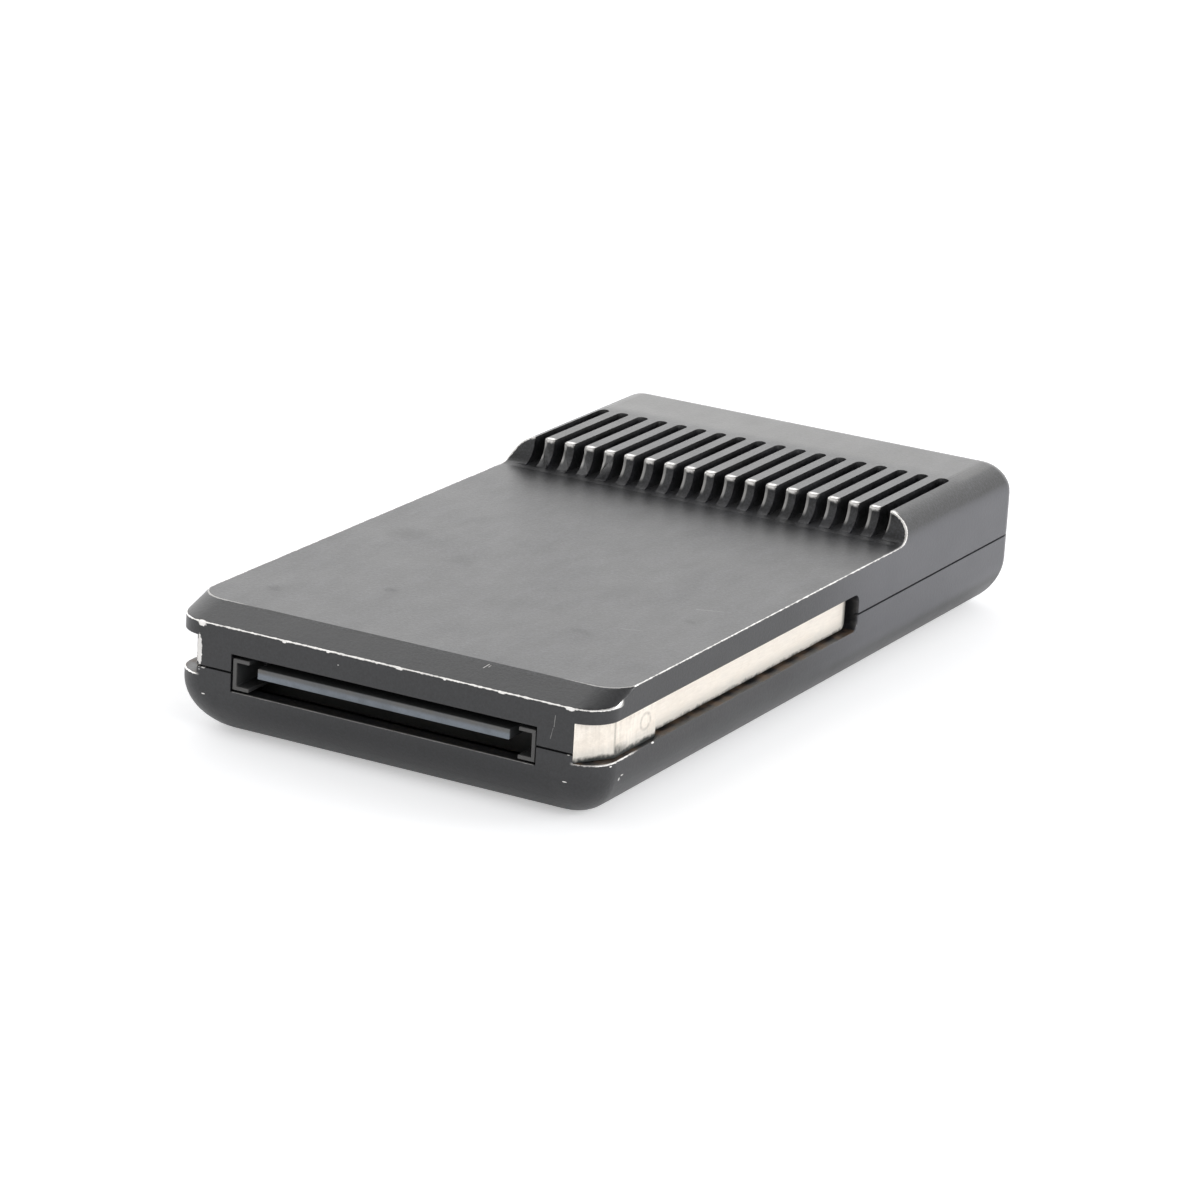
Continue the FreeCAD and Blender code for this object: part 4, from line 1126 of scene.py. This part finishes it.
@dataclass(frozen=True)
class Lamp:
    """A square soft lamp that looks at a point."""

    name: str
    place_m: Point
    aim_m: Point
    size_m: float
    watts: float

    def hang(self) -> None:
        """Adds the lamp to the scene."""
        data = bpy.data.lights.new(self.name, "AREA")
        data.size = self.size_m
        data.energy = self.watts
        lamp = bpy.data.objects.new(self.name, data)
        bpy.context.collection.objects.link(lamp)
        lamp.location = self.place_m
        look = Vector(self.aim_m) - Vector(self.place_m)
        lamp.rotation_euler = look.to_track_quat("-Z", "Y").to_euler()


@dataclass
class Studio:
    """The pale floor, the white surroundings, the lamps and the camera."""

    floor_size_m: float = 6.0
    floor_white: Colour = (0.90, 0.905, 0.92)
    floor_lift: float = 0.41
    mirrored_lift: float = 0.45
    rear_level: float = 1.75
    front_level: float = 0.70
    top_level: float = 0.25
    wall_fade: Span = (0.95, 0.15)
    top_fade: Span = (0.66, 0.97)
    camera_place: Point = (272.06, -508.98, 190.69)
    camera_aim: Point = (16.60, -34.66, 20.02)
    camera_roll: float = 3.37
    camera_lens: float = 148.59
    camera_sensor: float = 36.0
    lamps: tuple[Lamp, ...] = (
        Lamp("side_lamp", place_m=(0.9, -0.35, 0.45), aim_m=(0.0, 0.0, 0.0), size_m=0.5, watts=3.2),
        Lamp("rear_lamp", place_m=(0.8, 0.5, 0.3), aim_m=(0.0, 0.1, 0.0), size_m=0.4, watts=2.2),
    )

    def camera(self) -> None:
        """Puts the camera where the photograph was taken from."""
        data = bpy.data.cameras.new("photo_camera")
        data.lens = self.camera_lens
        data.sensor_width = self.camera_sensor
        data.clip_start = 0.01
        camera = bpy.data.objects.new("photo_camera", data)
        bpy.context.collection.objects.link(camera)
        place, aim = Vector(self.camera_place) * MM, Vector(self.camera_aim) * MM
        forward = (aim - place).normalized()
        right = forward.cross(Vector((0.0, 0.0, 1.0))).normalized()
        up = right.cross(forward)
        turn = math.radians(self.camera_roll)
        right, up = (right * math.cos(turn) + up * math.sin(turn),
                     up * math.cos(turn) - right * math.sin(turn))
        rows = Matrix((right, up, -forward)).transposed().to_4x4()
        camera.matrix_world = Matrix.Translation(place) @ rows
        bpy.context.scene.camera = camera

    def surroundings(self) -> None:
        """A plain white room, brightest behind the object and dim straight above."""
        world = bpy.data.worlds.new("white_room")
        world.use_nodes = True
        graph = Graph(world.node_tree)
        direction = graph.add("ShaderNodeTexCoord", output="Generated")
        right, back, height = graph.parts(direction)
        white = (1.0, 1.0, 1.0, 1.0)
        top, front, rear = (graph.add("ShaderNodeBackground", {}, {"Color": white, "Strength": level})
                            for level in (self.top_level, self.front_level, self.rear_level))
        behind = (back - right).fade(*self.wall_fade)
        walls = graph.add("ShaderNodeMixShader", {}, {0: behind, 1: front, 2: rear})
        room = graph.add("ShaderNodeMixShader", {}, {0: height.fade(*self.top_fade), 1: top, 2: walls})
        graph.end("ShaderNodeOutputWorld", room)
        bpy.context.scene.world = world

    def floor(self) -> None:
        """A matt pale floor that reads white where nothing shades it."""
        deselect_all()
        bpy.ops.mesh.primitive_plane_add(size=self.floor_size_m, location=(0.0, 0.0, 0.0))
        floor = bpy.context.active_object
        floor.name = "floor"
        material = bpy.data.materials.new("floor_white")
        material.use_nodes = True
        graph = Graph(material.node_tree)
        paint = graph.add("ShaderNodeBsdfDiffuse", {}, {"Color": (*self.floor_white, 1.0)})
        camera = graph.add("ShaderNodeLightPath", output="Is Camera Ray")
        glossy = graph.add("ShaderNodeLightPath", output="Is Glossy Ray")
        glow = graph.add("ShaderNodeEmission", {}, {"Strength": self.floor_lift})
        dark = graph.add("ShaderNodeEmission", {}, {"Strength": 0.0})
        seen = camera + glossy * self.mirrored_lift
        lift = graph.add("ShaderNodeMixShader", {}, {0: seen, 1: dark, 2: glow})
        graph.end("ShaderNodeOutputMaterial", graph.add("ShaderNodeAddShader", {}, {0: paint, 1: lift}))
        floor.data.materials.append(material)

    def build(self) -> None:
        """Sets up the whole studio."""
        self.camera()
        self.surroundings()
        self.floor()
        for lamp in self.lamps:
            lamp.hang()
        view = bpy.context.scene.view_settings
        view.view_transform = "Standard"
        LOG.info("studio ready")


def main() -> None:
    """Builds and dresses every sub-assembly."""
    logging.basicConfig(level=logging.INFO, format="%(name)s: %(message)s")
    form = CaseForm.from_frame()
    for assembly in (Studio(), Case(form), GuideRails(form), Connector(), Electronics(), Fasteners()):
        assembly.build()


if __name__ == "__main__":
    main()
